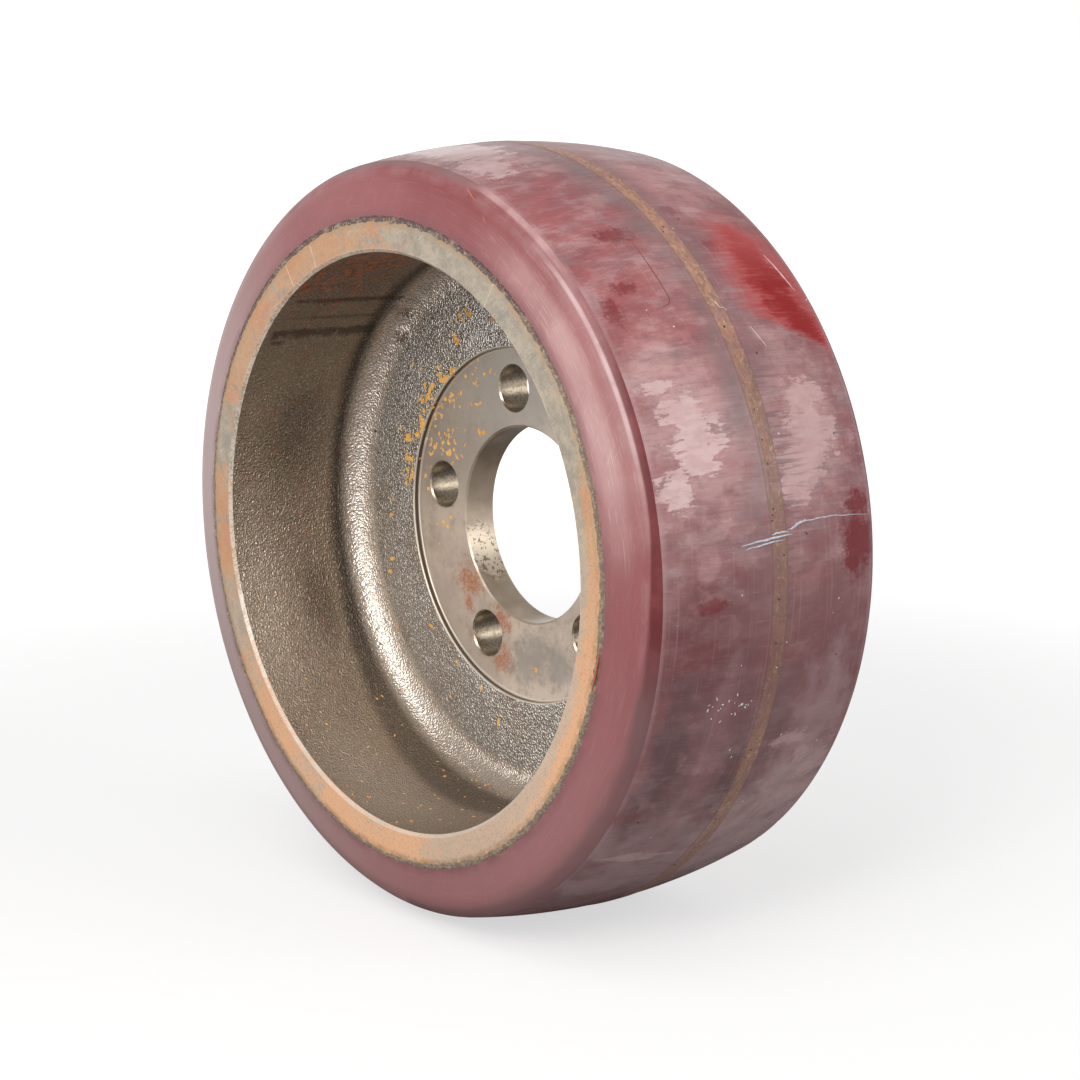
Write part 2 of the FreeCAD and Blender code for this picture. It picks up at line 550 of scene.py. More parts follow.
# Zones of the running surface: colour, strength, softness and marks. A mark is an angle, a station and
# the half sizes round the wheel and along it, in mm.
# Some zones are partly painted light: the pale ones at 57 to 70 degrees carry a painted sheen of the lamps,
# the dark ones at 95 to 102 degrees painted shade.
TREAD_ZONES = [
    ((186, 163, 162), 0.85, 0.5, [(2, -20, 34, 26), (10, 26, 30, 22)]),
    ((166, 99, 101), 0.88, 0.5, [(30, -26, 32, 19), (46, -24, 22, 20)]),
    ((188, 136, 138), 0.75, 0.5, [(25, 16, 18, 16), (22, 30, 14, 10)]),
    ((183, 147, 146), 0.85, 0.5, [(68, -22, 22, 24), (70, 14, 20, 20)]),
    ((200, 160, 157), 0.6, 0.5, [(57, -30, 10, 9), (60, -18, 8, 8)]),
    ((108, 66, 69), 0.92, 0.9, [(95, -24, 20, 26), (101, -22, 20, 28)]),
    ((126, 84, 86), 0.88, 0.9, [(96, 18, 22, 26), (102, 26, 22, 24)]),
    ((114, 48, 53), 0.75, 0.7, [(84, 35, 16, 7)]),
    ((140, 76, 84), 0.75, 0.8, [(71.5, 38, 13, 6)]),
    ((176, 138, 140), 0.6, 0.25, [(85.2, -26.5, 5, 4.5)]),
    ((128, 100, 102), 0.9, 0.5, [(122, -16, 40, 24), (114, 2, 26, 16), (138, 0, 40, 44)]),
    ((104, 82, 85), 0.7, 0.4, [(112, -32, 24, 6), (124, -34, 24, 5), (124, -6, 22, 4)]),
    ((152, 116, 118), 0.7, 0.4, [(118, -17, 36, 5)]),
    ((172, 146, 148), 0.8, 0.4, [(118, 26, 34, 14), (134, 34, 26, 8)]),
    ((176, 153, 154), 0.8, 0.6, [(136, -14, 24, 30)]),
    ((202, 178, 179), 0.8, 0.6, [(134, 24, 30, 26)]),
    ((176, 150, 152), 0.7, 0.3, [(143, -28, 8, 12)]),
]
# Crisp smears laid over one another: colour and strength
SMEARS = [
    ((200, 172, 171), 0.32),
    ((116, 82, 84), 0.34),
    ((158, 88, 90), 0.34),
    ((148, 130, 132), 0.36),
    ((206, 180, 179), 0.26),
    ((122, 92, 95), 0.3),
]
# Patches of film, pale partly from a painted reflection of the lamps, and of red where the tread is rubbed
# clean, as marks of the same kind
FILM_AND_SHEEN_PATCHES = [
    (60.3, -33, 2.2, 7),
    (64.5, -27, 6, 8),
    (68, -24, 8, 9),
    (71, -25, 5, 8),
    (75, -35, 6, 6),
    (64, 22, 5, 9),
    (69, 20, 9, 11),
    (73, 13, 8, 10),
    (77, 9, 6, 7),
    (1, -26, 24, 12),
    (12, -32, 10, 8),
    (114, 16, 2.5, 10),
    (118, 25, 4, 5),
    (121, 34, 5, 8),
    (126, 25, 5, 6),
    (128, 37, 4, 6),
    (134.5, -25, 2.4, 12),
    (138, 33, 8, 10),
]
BRIGHT_RED_PATCHES = [
    (37, 26, 6, 6),
    (41, 27, 13, 10),
    (46, 29, 14, 13),
    (50, 30, 15, 14),
    (53, 34, 12, 12),
]
EDGE_RED_PATCHES = [
    (80.3, 36.5, 4, 6),
    (85.5, 36, 8, 8),
    (88.0, 33, 4, 4),
]
DARK_RED_PATCHES = [
    (91, -25.6, 2.2, 4.5),
    (35.3, -20.6, 3.0, 6),
    (44.6, -28.5, 2.6, 4),
    (48, -36, 5, 3),
    (39, 13, 2.4, 4),
    (31, 8, 2.0, 4),
]


def on_running_surface(marks):
    """Marks of the running surface with the radius that lies under each."""
    return [(angle, station, crown_at(station * MM, band_top) / MM, around, along)
            for angle, station, around, along in marks]


def running_surface():
    """Scuffed running surface: mauve zones with painted sheen and shade, a rubbed red place, film with a
    painted reflection, smears, scratches and the band with painted shade at its steps.
    """
    skin = Finish("worn_running_surface")
    broad = skin.noise(30, 1, 3)
    medium = skin.noise(9, 2, 5, 0.6)
    fine = skin.noise(1.4, 3, 3)
    blots = skin.noise(6, 11, 5, 0.65)
    teeth = skin.noise((0.9, 13), 10, 5, 0.6)
    wipes = skin.noise((0.9, 34), 4, 5, 0.65)
    rings = skin.noise((46, 1.1), 5, 4, 0.6)
    ragged = skin.add(skin.times(blots, 1.5), skin.times(teeth, 2.3), -1.95)
    drifting = skin.add(skin.times(medium, 1.7), skin.times(teeth, 0.3), -1.0)

    # Mauve ground and its zones, some with painted sheen and painted shade
    skin.colour = skin.mix(skin.ramp(broad, 0.35, 0.65), (158, 116, 117), (144, 98, 101))
    for tint, strength, soft, marks in TREAD_ZONES:
        share = skin.patches(on_running_surface(marks), drifting, soft)
        skin.coat(tint, share, strength)

    # Smears, wipes across the tread and faint rings round it
    clouds = skin.noise(6, 31, 5, 0.55)
    cloudy = skin.most(skin.ramp(skin.turn, 82, 92, 0.45, 0.14), skin.ramp(skin.turn, 106, 116, 0.0, 0.36))
    skin.coat((134, 80, 84), skin.ramp(clouds, 0.46, 0.3), cloudy)
    skin.coat((190, 144, 144), skin.ramp(clouds, 0.54, 0.7), cloudy)
    upper = skin.most(skin.ramp(skin.turn, 80, 92, 1.0, 0.3), skin.ramp(skin.turn, 104, 116, 0.0, 0.5))
    for index, (tint, strength) in enumerate(SMEARS):
        field = skin.noise((9, 20), 20 + index, 8, 0.62)
        crisp = skin.ramp(field, 0.575, 0.59)
        faint = skin.ramp(field, 0.48, 0.6, 0.0, 0.5)
        skin.coat(tint, skin.most(crisp, faint), upper, strength)
    skin.coat((118, 88, 90), skin.ramp(wipes, 0.5, 0.66), upper, 0.3)
    skin.coat((196, 166, 165), skin.ramp(wipes, 0.46, 0.32), upper, 0.26)
    skin.coat((186, 152, 151), skin.ramp(rings, 0.54, 0.72), 0.22)

    # Glossy film left in ragged patches, its pale colour partly a painted reflection of the lamps
    holes = skin.times(skin.add(skin.noise((2.6, 6), 41, 7, 0.68), -0.5), 2.6)
    film_and_sheen_field = skin.add(skin.nearness(on_running_surface(FILM_AND_SHEEN_PATCHES)), skin.times(ragged, 0.75), holes)
    skin.coat((196, 164, 164), skin.ramp(film_and_sheen_field, -0.5, 0.4, 0.0, 0.2))
    film_and_sheen = skin.ramp(film_and_sheen_field, -0.06, 0.12)
    film_and_sheen_tint = skin.mix(skin.ramp(skin.station, 0.0, 6 * MM), (218, 195, 194), (213, 184, 183))
    thinner = skin.times(skin.ramp(skin.noise((4, 9), 43, 6, 0.65), 0.44, 0.6), 0.6)
    film_and_sheen_tint = skin.mix(thinner, film_and_sheen_tint, (196, 160, 160))
    skin.coat(film_and_sheen_tint, film_and_sheen, skin.ramp(skin.turn, 98, 112, 0.64, 0.44))

    # Dark fingers that run back from the band
    beyond = skin.between(skin.station, 2.5 * MM, 3.5 * MM, 5 * MM, 19 * MM)
    beside_film = skin.ramp(skin.towards(71), 0.92, 0.99)
    fingers = skin.times(skin.ramp(skin.noise((1.0, 16), 14, 3), 0.5, 0.6), beyond, beside_film)
    skin.coat((122, 94, 96), fingers, 0.65)

    # Places rubbed clean, where the red shows
    mottled = skin.add(skin.times(skin.noise(2.6, 17, 5, 0.7), 3.6), skin.times(teeth, 0.8), -2.2)
    dark = skin.patches(on_running_surface(DARK_RED_PATCHES), mottled, 0.5)
    skin.coat((112, 20, 29), dark, 0.6)
    edge_red = skin.patches(on_running_surface(EDGE_RED_PATCHES), skin.times(mottled, 0.7), 0.4)
    skin.coat((112, 2, 14), edge_red, 0.92)
    red_marks = skin.nearness(on_running_surface(BRIGHT_RED_PATCHES))
    red_field = skin.add(red_marks, skin.times(drifting, 0.8), skin.times(wipes, 1.6), -0.8)
    red_end = skin.add(skin.times(skin.station, 0.23 / MM), skin.times(teeth, -5.0), 50.6)
    cut_off = skin.ramp(skin.calc("SUBTRACT", skin.turn, red_end), 0.9, -0.9)
    deeper = skin.times(skin.ramp(red_field, 0.0, 0.8), skin.ramp(skin.turn, 37, 47, 0.3, 1.0))
    red = skin.mix(deeper, (184, 82, 82), (146, 12, 15))
    skin.coat(red, skin.ramp(red_field, -1.0, 0.6), cut_off, 0.95)

    # Fine pale scratches and the worn front edge
    long_ones = skin.ramp(skin.noise((0.32, 18), 7, 2, 0.5), 0.69, 0.78)
    ring_ones = skin.ramp(skin.noise((22, 0.3), 8, 2), 0.72, 0.82)
    scratch = skin.most(long_ones, ring_ones)
    skin.coat((210, 188, 188), scratch, 0.4)
    edge_line = skin.ramp(skin.off_middle, 40.4 * MM, 41.7 * MM)
    skin.coat((190, 160, 162), edge_line, skin.ramp(medium, 0.35, 0.6, 0.2, 1.0), 0.3)

    # Parting band: ochre grime on it, a blue-grey halo before it
    band_place = skin.add(skin.station, skin.calc("MULTIPLY_ADD", medium, 1.6 * MM, -0.8 * MM))
    on_band = skin.times(
        skin.ramp(band_place, -half_band - 1.2 * MM, -half_band + 1.6 * MM),
        skin.ramp(skin.station, half_band + 0.05 * MM, half_band - 0.05 * MM),
    )
    spread = skin.ramp(skin.add(medium, skin.times(teeth, 0.4)), 0.55, 0.8, 0.25, 1.0)
    halo = skin.times(skin.between(skin.station, -17 * MM, -5 * MM, -2 * MM, 1 * MM), spread)
    skin.coat((124, 112, 112), halo, skin.ramp(skin.towards(42), 0.5, 0.95), 0.6)
    past_band = skin.times(skin.between(skin.station, 2 * MM, 3.2 * MM, 5 * MM, 14 * MM), spread)
    skin.coat((136, 108, 111), past_band, skin.ramp(skin.towards(45), 0.8, 0.98), 0.65)
    streaked = skin.noise((2.4, 1.2), 9, 5, 0.7)
    grime = skin.mix(skin.ramp(streaked, 0.38, 0.62), (130, 104, 92), (154, 122, 102))
    ochre = skin.times(skin.ramp(skin.towards(38), 0.72, 0.95), skin.ramp(streaked, 0.36, 0.64))
    ochre = skin.times(ochre, skin.ramp(skin.station, 2.2 * MM, 0.8 * MM))
    grime = skin.mix(skin.times(ochre, 0.55), grime, (182, 138, 104))
    grime = skin.mix(skin.times(skin.ramp(fine, 0.58, 0.68), 0.4), grime, (208, 178, 150))
    paler = skin.most(skin.ramp(skin.turn, 50, 64, 1.3, 0.93), skin.ramp(skin.turn, 98, 114, 0.9, 1.4))
    grime = skin.vector("MULTIPLY", grime, skin.together(paler, paler, paler))
    by_turn = skin.most(skin.ramp(skin.turn, 80, 94, 1.0, 0.78), skin.ramp(skin.turn, 100, 112))
    grimy = skin.times(skin.ramp(blots, 0.35, 0.6, 0.5, 0.95), by_turn)
    skin.coat(grime, on_band, grimy)
    # Thin dark lines along the band's steps: painted shade
    from_step = skin.calc("ABSOLUTE", skin.calc("SUBTRACT", skin.off_middle, half_band))
    step_shade = skin.ramp(from_step, 0.45 * MM, 0.1 * MM)
    skin.coat((96, 70, 64), step_shade, 0.32)
    skin.colour = skin.vector("MULTIPLY", skin.colour, (1.02, 0.95, 0.95))

    rough = skin.calc("MULTIPLY_ADD", film_and_sheen, -0.18, 0.4)
    height = skin.add(
        skin.times(fine, 0.35),
        skin.times(scratch, -0.4),
        skin.times(film_and_sheen, 0.5),
        skin.times(medium, 0.8),
    )
    return skin.finish(rough=rough, normal=skin.bump(height, 0.08, 0.5), shine=0.3)


def moulded_sides():
    """Moulded sides and shoulders of the tread: hazed, scratched dusty rose with painted sheens, and a clean
    red shoulder with a painted dark reflection and painted highlights.
    """
    skin = Finish("moulded_tread_side")
    broad = skin.noise(32, 1, 3)
    medium = skin.noise(9, 2, 5, 0.6)
    fine = skin.noise(1.4, 3, 3)
    skin.colour = skin.mix(skin.ramp(broad, 0.35, 0.65), (144, 78, 81), (154, 90, 92))
    low = skin.ramp(skin.towards(172), 0.0, 0.9)
    skin.coat((166, 118, 119), low, 0.8)
    # Mauve-grey towards the left: partly the side's own tone, partly a painted sheen
    grey_and_sheen = skin.ramp(skin.towards(-104), 0.15, 1.0)
    skin.coat((178, 156, 154), grey_and_sheen, 0.9)
    # Pale haze towards the right of the side: partly a real bloom, partly a painted sheen of the lamps
    clouded = skin.ramp(skin.add(broad, skin.times(medium, 0.4)), 0.45, 0.85, 0.55, 1.0)
    haze_and_sheen = skin.times(
        skin.ramp(skin.towards(55), 0.81, 1.0),
        skin.ramp(skin.radius, 101 * MM, 109 * MM),
        clouded,
        skin.ramp(skin.radius, 116 * MM, 112 * MM, 0.28, 1.0),
    )
    skin.coat((212, 174, 171), haze_and_sheen, 0.72)
    rubs = skin.ramp(skin.polar_noise(10, 0.5, 112, 9, 3, 0.6), 0.55, 0.7)
    skin.coat((224, 188, 187), rubs, skin.add(haze_and_sheen, 0.12), 0.6)
    crossing = skin.most(
        skin.ramp(skin.strokes(70, 0.35, 16, 3), 0.62, 0.74),
        skin.ramp(skin.strokes(112, 0.3, 14, 4), 0.64, 0.76),
        skin.ramp(skin.strokes(20, 0.3, 12, 5), 0.68, 0.78),
    )
    scratched = skin.calc("MULTIPLY_ADD", haze_and_sheen, 0.3, 0.1)
    skin.coat((228, 194, 192), crossing, scratched)
    bond_line = skin.ramp(skin.radius, bond_radius + 4 * MM, bond_radius)
    skin.coat((122, 80, 82), bond_line, skin.ramp(medium, 0.3, 0.6), 0.55)
    lines = skin.ramp(skin.polar_noise(24, 0.35, 114, 6, 3, 0.6), 0.6, 0.74)
    skin.coat((190, 142, 142), lines, 0.22)
    # Pale line round the start of the shoulder
    pale_ring = skin.ramp(skin.radius, 115 * MM, 117.6 * MM)
    skin.coat((176, 140, 140), pale_ring, skin.ramp(medium, 0.35, 0.65), 0.3)

    # Shoulder: clean red beside the tread edge, darkened by a painted dark reflection that is strongest at
    # the right; painted highlights along its ridge and along the edge near the top; grey at the top
    ragged = skin.times(skin.add(medium, -0.5), skin.ramp(skin.turn, 84, 110, 0.0, 3 * MM))
    reach = skin.add(44.1 * MM, skin.ramp(skin.turn, 74, 92, 0.0, 1.0 * MM), ragged)
    blurred = skin.ramp(skin.turn, 84, 116, 0.4 * MM, 2.2 * MM)
    dark_reflection_strip = skin.ramp(skin.calc("SUBTRACT", skin.off_middle, reach), blurred, -0.3 * MM)
    clean_red_and_dark_reflection = skin.mix(skin.ramp(medium, 0.35, 0.7), (98, 30, 34), (122, 50, 53))
    clean_red_and_dark_reflection = skin.mix(skin.ramp(skin.turn, 92, 110), clean_red_and_dark_reflection, (116, 86, 88))
    dark_reflection_strength = skin.times(skin.ramp(skin.turn, 40, 64, 0.1, 0.95), skin.ramp(skin.turn, 95, 125, 1.0, 0.6))
    skin.coat(clean_red_and_dark_reflection, dark_reflection_strip, dark_reflection_strength)
    at_top = skin.times(
        skin.ramp(skin.off_middle, 44.8 * MM, 43.8 * MM),
        skin.ramp(skin.turn, 21, 12),
        skin.ramp(skin.turn, -70, -20),
    )
    skin.coat((142, 116, 117), at_top, 0.6)
    # Painted highlight along the tread edge near the top of the wheel
    edge_highlight = skin.times(
        skin.ramp(skin.off_middle, 44.3 * MM, 43.5 * MM),
        skin.ramp(skin.turn, 14, 22),
        skin.ramp(skin.turn, 44, 32),
    )
    skin.coat((208, 168, 167), edge_highlight, skin.ramp(medium, 0.3, 0.6, 0.4, 0.75))
    # Painted highlight along the shoulder's ridge on the upper right
    ridge_highlight = skin.times(
        skin.between(skin.off_middle, 44.0 * MM, 44.5 * MM, 44.9 * MM, 45.4 * MM),
        skin.between(skin.turn, 30, 46, 56, 84),
        skin.ramp(medium, 0.3, 0.6, 0.6, 1.0),
    )
    skin.coat((242, 220, 220), ridge_highlight, 0.48)
    rough = skin.number_mix(skin.ramp(skin.off_middle, 46.8 * MM, 45.8 * MM), 0.36, 0.46)
    height = skin.add(skin.times(fine, 0.35), skin.times(medium, 0.8))
    return skin.finish(rough=rough, normal=skin.bump(height, 0.08, 0.5), shine=0.4)


# Splashes of rust on the web and on the seat: angle, radius and half size in mm
RUST_SPLASHES = [
    (-75, 61, 5),
    (-71, 64, 6),
    (-63, 60.5, 5),
    (-55, 61, 4),
    (-50, 64, 3),
    (-44, 60.5, 4),
    (-82, 60, 4),
    (-31, 68, 2),
    (-91, 71, 2),
    (-38, 59.5, 3),
    (-24, 73, 3),
    (-16, 80, 4),
]
SEAT_SPLASHES = [
    (-68, 55, 6),
    (-57, 56, 5),
    (-46, 55, 5),
    (-30, 55, 5),
    (-24, 53, 4),
    (-62, 48, 7),
    (-80, 50, 6),
    (-98, 45, 4),
    (-36, 45, 3),
]
# Painted light, painted shade and rust on the dish wall: angle, station, radius and half sizes in mm
LIT_WALL = [(-111, -44, 92, 60, 20), (-168, -36, 92, 66, 26)]
SHADED_WALL = [(-76, -26, 92, 30, 18), (-113, -20, 92, 26, 10)]
RUSTY_WALL = [(-18, -38, 92, 60, 34)]
# Grooves down the dish wall: angle, first and last station, half width and depth in mm
WALL_GROOVES = [
    (-49.9, -48, -5, 2.7, 0.3),
    (-45.2, -44, -8, 1.2, 0.15),
    (-39.3, -46, -2, 1.7, 0.3),
    (-52.6, -47, -40, 1.6, 0.25),
]
# Lumps at the foot of the dish wall: angle, station, radius, half width and height in mm
CAST_LUMPS = [
    (-41.5, -4, 89.5, 4.5, 0.9),
    (-48.0, 1.2, 84.5, 4.6, 0.8),
    (-44.0, -1.2, 86.6, 3.6, 0.7),
    (-37.0, -1.5, 87.0, 3.6, 0.6),
]
# Scabs of red rust there: angle, station, radius and half sizes in mm
RED_SCABS = [
    (-42.5, -1.0, 87.0, 3.0, 3.0),
    (-48.0, 1.6, 84.0, 3.4, 2.6),
    (-39.5, -3.0, 89.0, 2.2, 2.2),
    (-29.0, -3.0, 88.5, 1.8, 1.8),
    (-57.0, 0.5, 85.0, 1.0, 1.0),
    (-66.0, 0.8, 85.0, 1.2, 1.0),
    (-75.0, 1.5, 83.5, 0.9, 1.0),
]


def flat_marks(places, station):
    """Marks on a face that lies across the axis, from angles, radii and half sizes."""
    return [(angle, station / MM, radius, size, 8) for angle, radius, size in places]


def as_cast_skin():
    """As-cast skin of the dishes: pebbled dark iron with rust, painted light and shade, and painted glints,
    browner on the wall.
    """
    skin = Finish("as_cast_skin")
    wall = skin.ramp(skin.radius, 83.5 * MM, 90 * MM)
    broad = skin.noise(26, 1, 3)
    medium = skin.noise(7, 2, 4, 0.6)
    speck = skin.noise(1.5, 4, 3, 0.6)
    fine = skin.noise(0.4, 3, 2)
    pebble = skin.noise(0.64, 5, 0.3)
    painted_glints = skin.ramp(pebble, 0.58, 0.65)
    painted_gap_shade = skin.ramp(pebble, 0.49, 0.37)

    skin.colour = skin.mix(wall, (192, 187, 180), (154, 135, 116))
    skin.coat((168, 146, 120), skin.ramp(broad, 0.4, 0.7), 0.4)
    # Painted light on the wall where the lamps fall, painted shade where they do not
    painted_wall_light = skin.ramp(skin.nearness(LIT_WALL), 0.0, 0.9)
    skin.coat((196, 180, 162), painted_wall_light, wall, 0.6)
    painted_wall_shade = skin.ramp(skin.nearness(SHADED_WALL), 0.0, 0.9)
    skin.coat((104, 88, 73), painted_wall_shade, 0.7)
    # Dark strip on the wall along the fillet: partly a stain, partly painted shade, wider towards the bottom
    low = skin.calc("POWER", skin.most(skin.towards(180), 0.0), 2.4)
    strip_edge = skin.calc("MULTIPLY_ADD", low, -10.6 * MM, -9.2 * MM)
    below = skin.add(skin.calc("SUBTRACT", skin.station, strip_edge), skin.times(medium, 2 * MM), -1 * MM)
    stain_and_shade_strip = skin.times(skin.ramp(below, -3.6 * MM, 1.8 * MM), wall)
    skin.coat((72, 62, 52), stain_and_shade_strip, skin.ramp(low, 0.0, 0.8, 0.9, 0.62))
    # Paler fillet: a painted highlight that brightens the lamps' reflection there
    fillet = skin.times(
        skin.ramp(skin.radius, 80.5 * MM, 83 * MM),
        skin.ramp(skin.station, -7.5 * MM, -2 * MM),
    )
    skin.coat((230, 217, 203), fillet, 0.85)
    on_web = skin.calc("SUBTRACT", 1.0, skin.ramp(skin.station, -3.5 * MM, -6.5 * MM))
    # Pebbles with painted glints on their tips and painted shade in their gaps, strongest towards the top of
    # the dish where the lamps glint
    glinting_side = skin.ramp(skin.towards(-20), -0.7, 0.6, 0.55, 1.0)
    shows = skin.times(
        skin.calc("MULTIPLY_ADD", on_web, 0.65, 0.35),
        skin.calc("MULTIPLY_ADD", fillet, -0.5, 1.0),
        glinting_side,
    )
    skin.coat((86, 78, 71), painted_gap_shade, shows, 0.42)
    skin.coat((252, 246, 238), painted_glints, shows, 0.4)

    # Red rust up the wall, ochre specks, splashes of orange
    upper = skin.times(wall, skin.ramp(skin.nearness(RUSTY_WALL), -0.2, 0.9))
    dots = skin.noise(1.3, 14, 4, 0.7)
    stains = skin.ramp(skin.add(dots, skin.times(medium, 0.5), skin.times(upper, 0.2)), 0.92, 0.96)
    spots = skin.ramp(skin.noise(1.1, 15, 2, 0.6), 0.705, 0.73)
    red_rust = skin.most(skin.times(stains, wall), skin.times(spots, wall))
    rust_tint = skin.mix(skin.ramp(skin.noise(3.0, 16, 2), 0.42, 0.58), (206, 98, 46), (132, 56, 38))
    skin.coat(rust_tint, red_rust, 0.85)
    scabs = skin.patches(RED_SCABS, skin.add(skin.times(dots, 5.0), -3.0), 0.6)
    skin.coat((84, 42, 34), scabs, 0.85)
    ochre = skin.ramp(skin.add(speck, skin.times(medium, 0.3)), 0.86, 0.9)
    skin.coat((206, 146, 66), ochre, 0.8)
    splashed = skin.nearness(flat_marks(RUST_SPLASHES, web_front))
    orange = skin.ramp(skin.add(skin.times(splashed, 0.13), skin.noise(3.2, 9, 4, 0.6)), 0.6, 0.63)
    skin.coat((255, 194, 92), orange, 0.95)

    # Dark grooves down the wall
    ragged = skin.add(skin.times(medium, 0.9), skin.times(speck, 1.4), -1.1)
    broken = skin.ramp(skin.add(medium, skin.times(speck, 0.4)), 0.5, 0.62, 0.55, 1.0)
    for angle, first, last, width, depth in WALL_GROOVES:
        aside = skin.add(skin.nearness([(angle, (first + last) / 2, 91.5, width, 400)]), ragged)
        reach = skin.between(skin.station, first * MM, (first + 2) * MM, (last - 2) * MM, last * MM)
        skin.coat((58, 48, 39), skin.ramp(aside, -0.1, 0.7), reach, broken, 2.2 * depth)

    bare = skin.calc("SUBTRACT", 1.0, skin.most(orange, red_rust, ochre))
    metal = skin.times(skin.calc("MULTIPLY_ADD", skin.most(fillet, on_web), 0.35, 0.45), bare)
    smoothed = skin.calc("MULTIPLY_ADD", fillet, -0.3, 1.0)
    height = skin.times(skin.add(pebble, skin.times(fine, 0.15)), smoothed)
    height = skin.times(height, skin.number_mix(on_web, 1.15, skin.calc("MULTIPLY_ADD", glinting_side, 0.55, 0.2)))
    return skin.finish(rough=0.26, metal=metal, normal=skin.bump(height, 0.78))


# Stains of the turned seat, and places of the bore that are rubbed and carry a painted reflection: angle,
# station, radius and half sizes in mm
GREY_STAINS = [(-179, 4, 47, 9, 8), (172, 4, 44, 9, 8), (160, 4, 48, 8, 8), (-10, 4, 48, 20, 8)]
BROWN_STAINS = [(-166, 4, 48, 5, 8), (-160, 4, 36, 5, 8), (-128, 4, 38, 6, 8), (-134, 4, 43, 3, 8)]
BORE_RUBS_AND_SHEEN = [(-108, 8, 32.5, 5, 5), (-116, 10, 32.5, 6, 6), (-125, 12, 32.5, 4, 4)]


def turned_faces():
    """Turned seats and pilot bore: fine rings, grey and brown stains, orange splashes, rubbed bore patches
    with a painted reflection, and a step with painted shade between painted highlights.
    """
    skin = Finish("turned_seat_and_bore")
    cloud = skin.noise(14, 1, 4, 0.55)
    medium = skin.noise(5, 2, 4, 0.6)
    speck = skin.noise(1.5, 4, 3, 0.6)
    fine = skin.noise(0.7, 3, 3, 0.6)
    rings = skin.polar_noise(90, 0.42, 45, 6)
    ragged = skin.add(skin.times(medium, 2.6), skin.times(speck, 1.0), -1.9)

    skin.colour = skin.mix(skin.ramp(cloud, 0.35, 0.65), (190, 175, 161), (214, 197, 181))
    cool = skin.ramp(skin.towards(-25), 0.2, 0.9)
    skin.coat((152, 143, 131), cool, 0.8)
    skin.coat((160, 132, 108), skin.ramp(medium, 0.5, 0.65), 0.3)
    brown = skin.patches(BROWN_STAINS, skin.add(ragged, skin.times(fine, 0.8), -0.4), 0.6)
    skin.coat((178, 108, 66), brown, skin.ramp(fine, 0.36, 0.6, 0.4, 0.9))
    grey = skin.patches(GREY_STAINS, ragged, 0.6)
    skin.coat((152, 145, 137), grey, 0.62)
    skin.coat((160, 114, 84), skin.ramp(speck, 0.6, 0.72), 0.3)
    bore = skin.ramp(skin.radius, bore_radius + 0.4 * MM, bore_radius + 0.1 * MM)
    bore_colour = skin.mix(skin.ramp(cloud, 0.35, 0.65), (174, 155, 135), (200, 183, 163))
    # Pale rubbed patches on the bore, partly a painted reflection
    streaks = skin.add(skin.times(skin.noise((0.7, 2.6), 7, 4, 0.7), 3.0), -1.5)
    rubbed_and_sheen = skin.patches(BORE_RUBS_AND_SHEEN, streaks, 0.4)
    bore_colour = skin.mix(skin.times(rubbed_and_sheen, 0.8), bore_colour, (224, 210, 188))
    flecks = skin.times(skin.ramp(speck, 0.55, 0.61), skin.ramp(skin.nearness(BORE_RUBS_AND_SHEEN), -0.7, 0.1))
    bore_colour = skin.mix(skin.times(flecks, 0.8), bore_colour, (110, 80, 62))
    skin.coat(bore_colour, bore)
    splashed = skin.nearness(flat_marks(SEAT_SPLASHES, seat_station))
    orange = skin.ramp(skin.add(skin.times(splashed, 0.11), skin.noise(1.8, 9, 2, 0.5)), 0.64, 0.67)
    orange = skin.times(orange, skin.ramp(skin.radius, bore_radius + 0.5 * MM, bore_radius + 1 * MM))
    skin.coat((255, 194, 92), orange, 0.95)

    # Painted shade on the step's wall, between painted highlights on the radii at its foot and its lip
    step_highlight = skin.ramp(skin.radius, seat_radius - 0.7 * MM, seat_radius - 0.5 * MM)
    wall = skin.times(
        skin.ramp(skin.radius, seat_radius - 0.12 * MM, seat_radius - 0.05 * MM),
        skin.ramp(skin.station, web_front + 0.3 * MM, web_front + 0.5 * MM),
        skin.ramp(skin.station, seat_station - 0.4 * MM, seat_station - 0.6 * MM),
    )
    skin.coat((222, 210, 194), step_highlight, 0.8)
    skin.coat((66, 50, 39), wall, 0.92)

    matt = skin.most(orange, skin.times(brown, 0.7), wall)
    metal = skin.calc("MULTIPLY_ADD", matt, -0.45, 0.5)
    rough = skin.calc("MULTIPLY_ADD", orange, 0.4, 0.32)
    height = skin.add(skin.times(rings, 0.6), skin.times(fine, 0.6))
    return skin.finish(rough=rough, metal=metal, normal=skin.bump(height, 0.05, 0.6))


# Long rusty stretches of the rim's end faces: angle and half length in mm
RIM_RUST = [(-164, 26), (-135, 24), (-101, 12), (-88, 10), (-56, 24), (-24, 37), (99, 34), (177, 16)]
# Scratches across the rim's end faces: angle and width in mm
RIM_SCRATCHES = [(-34, 0.35), (-25, 0.5), (31, 0.4)]


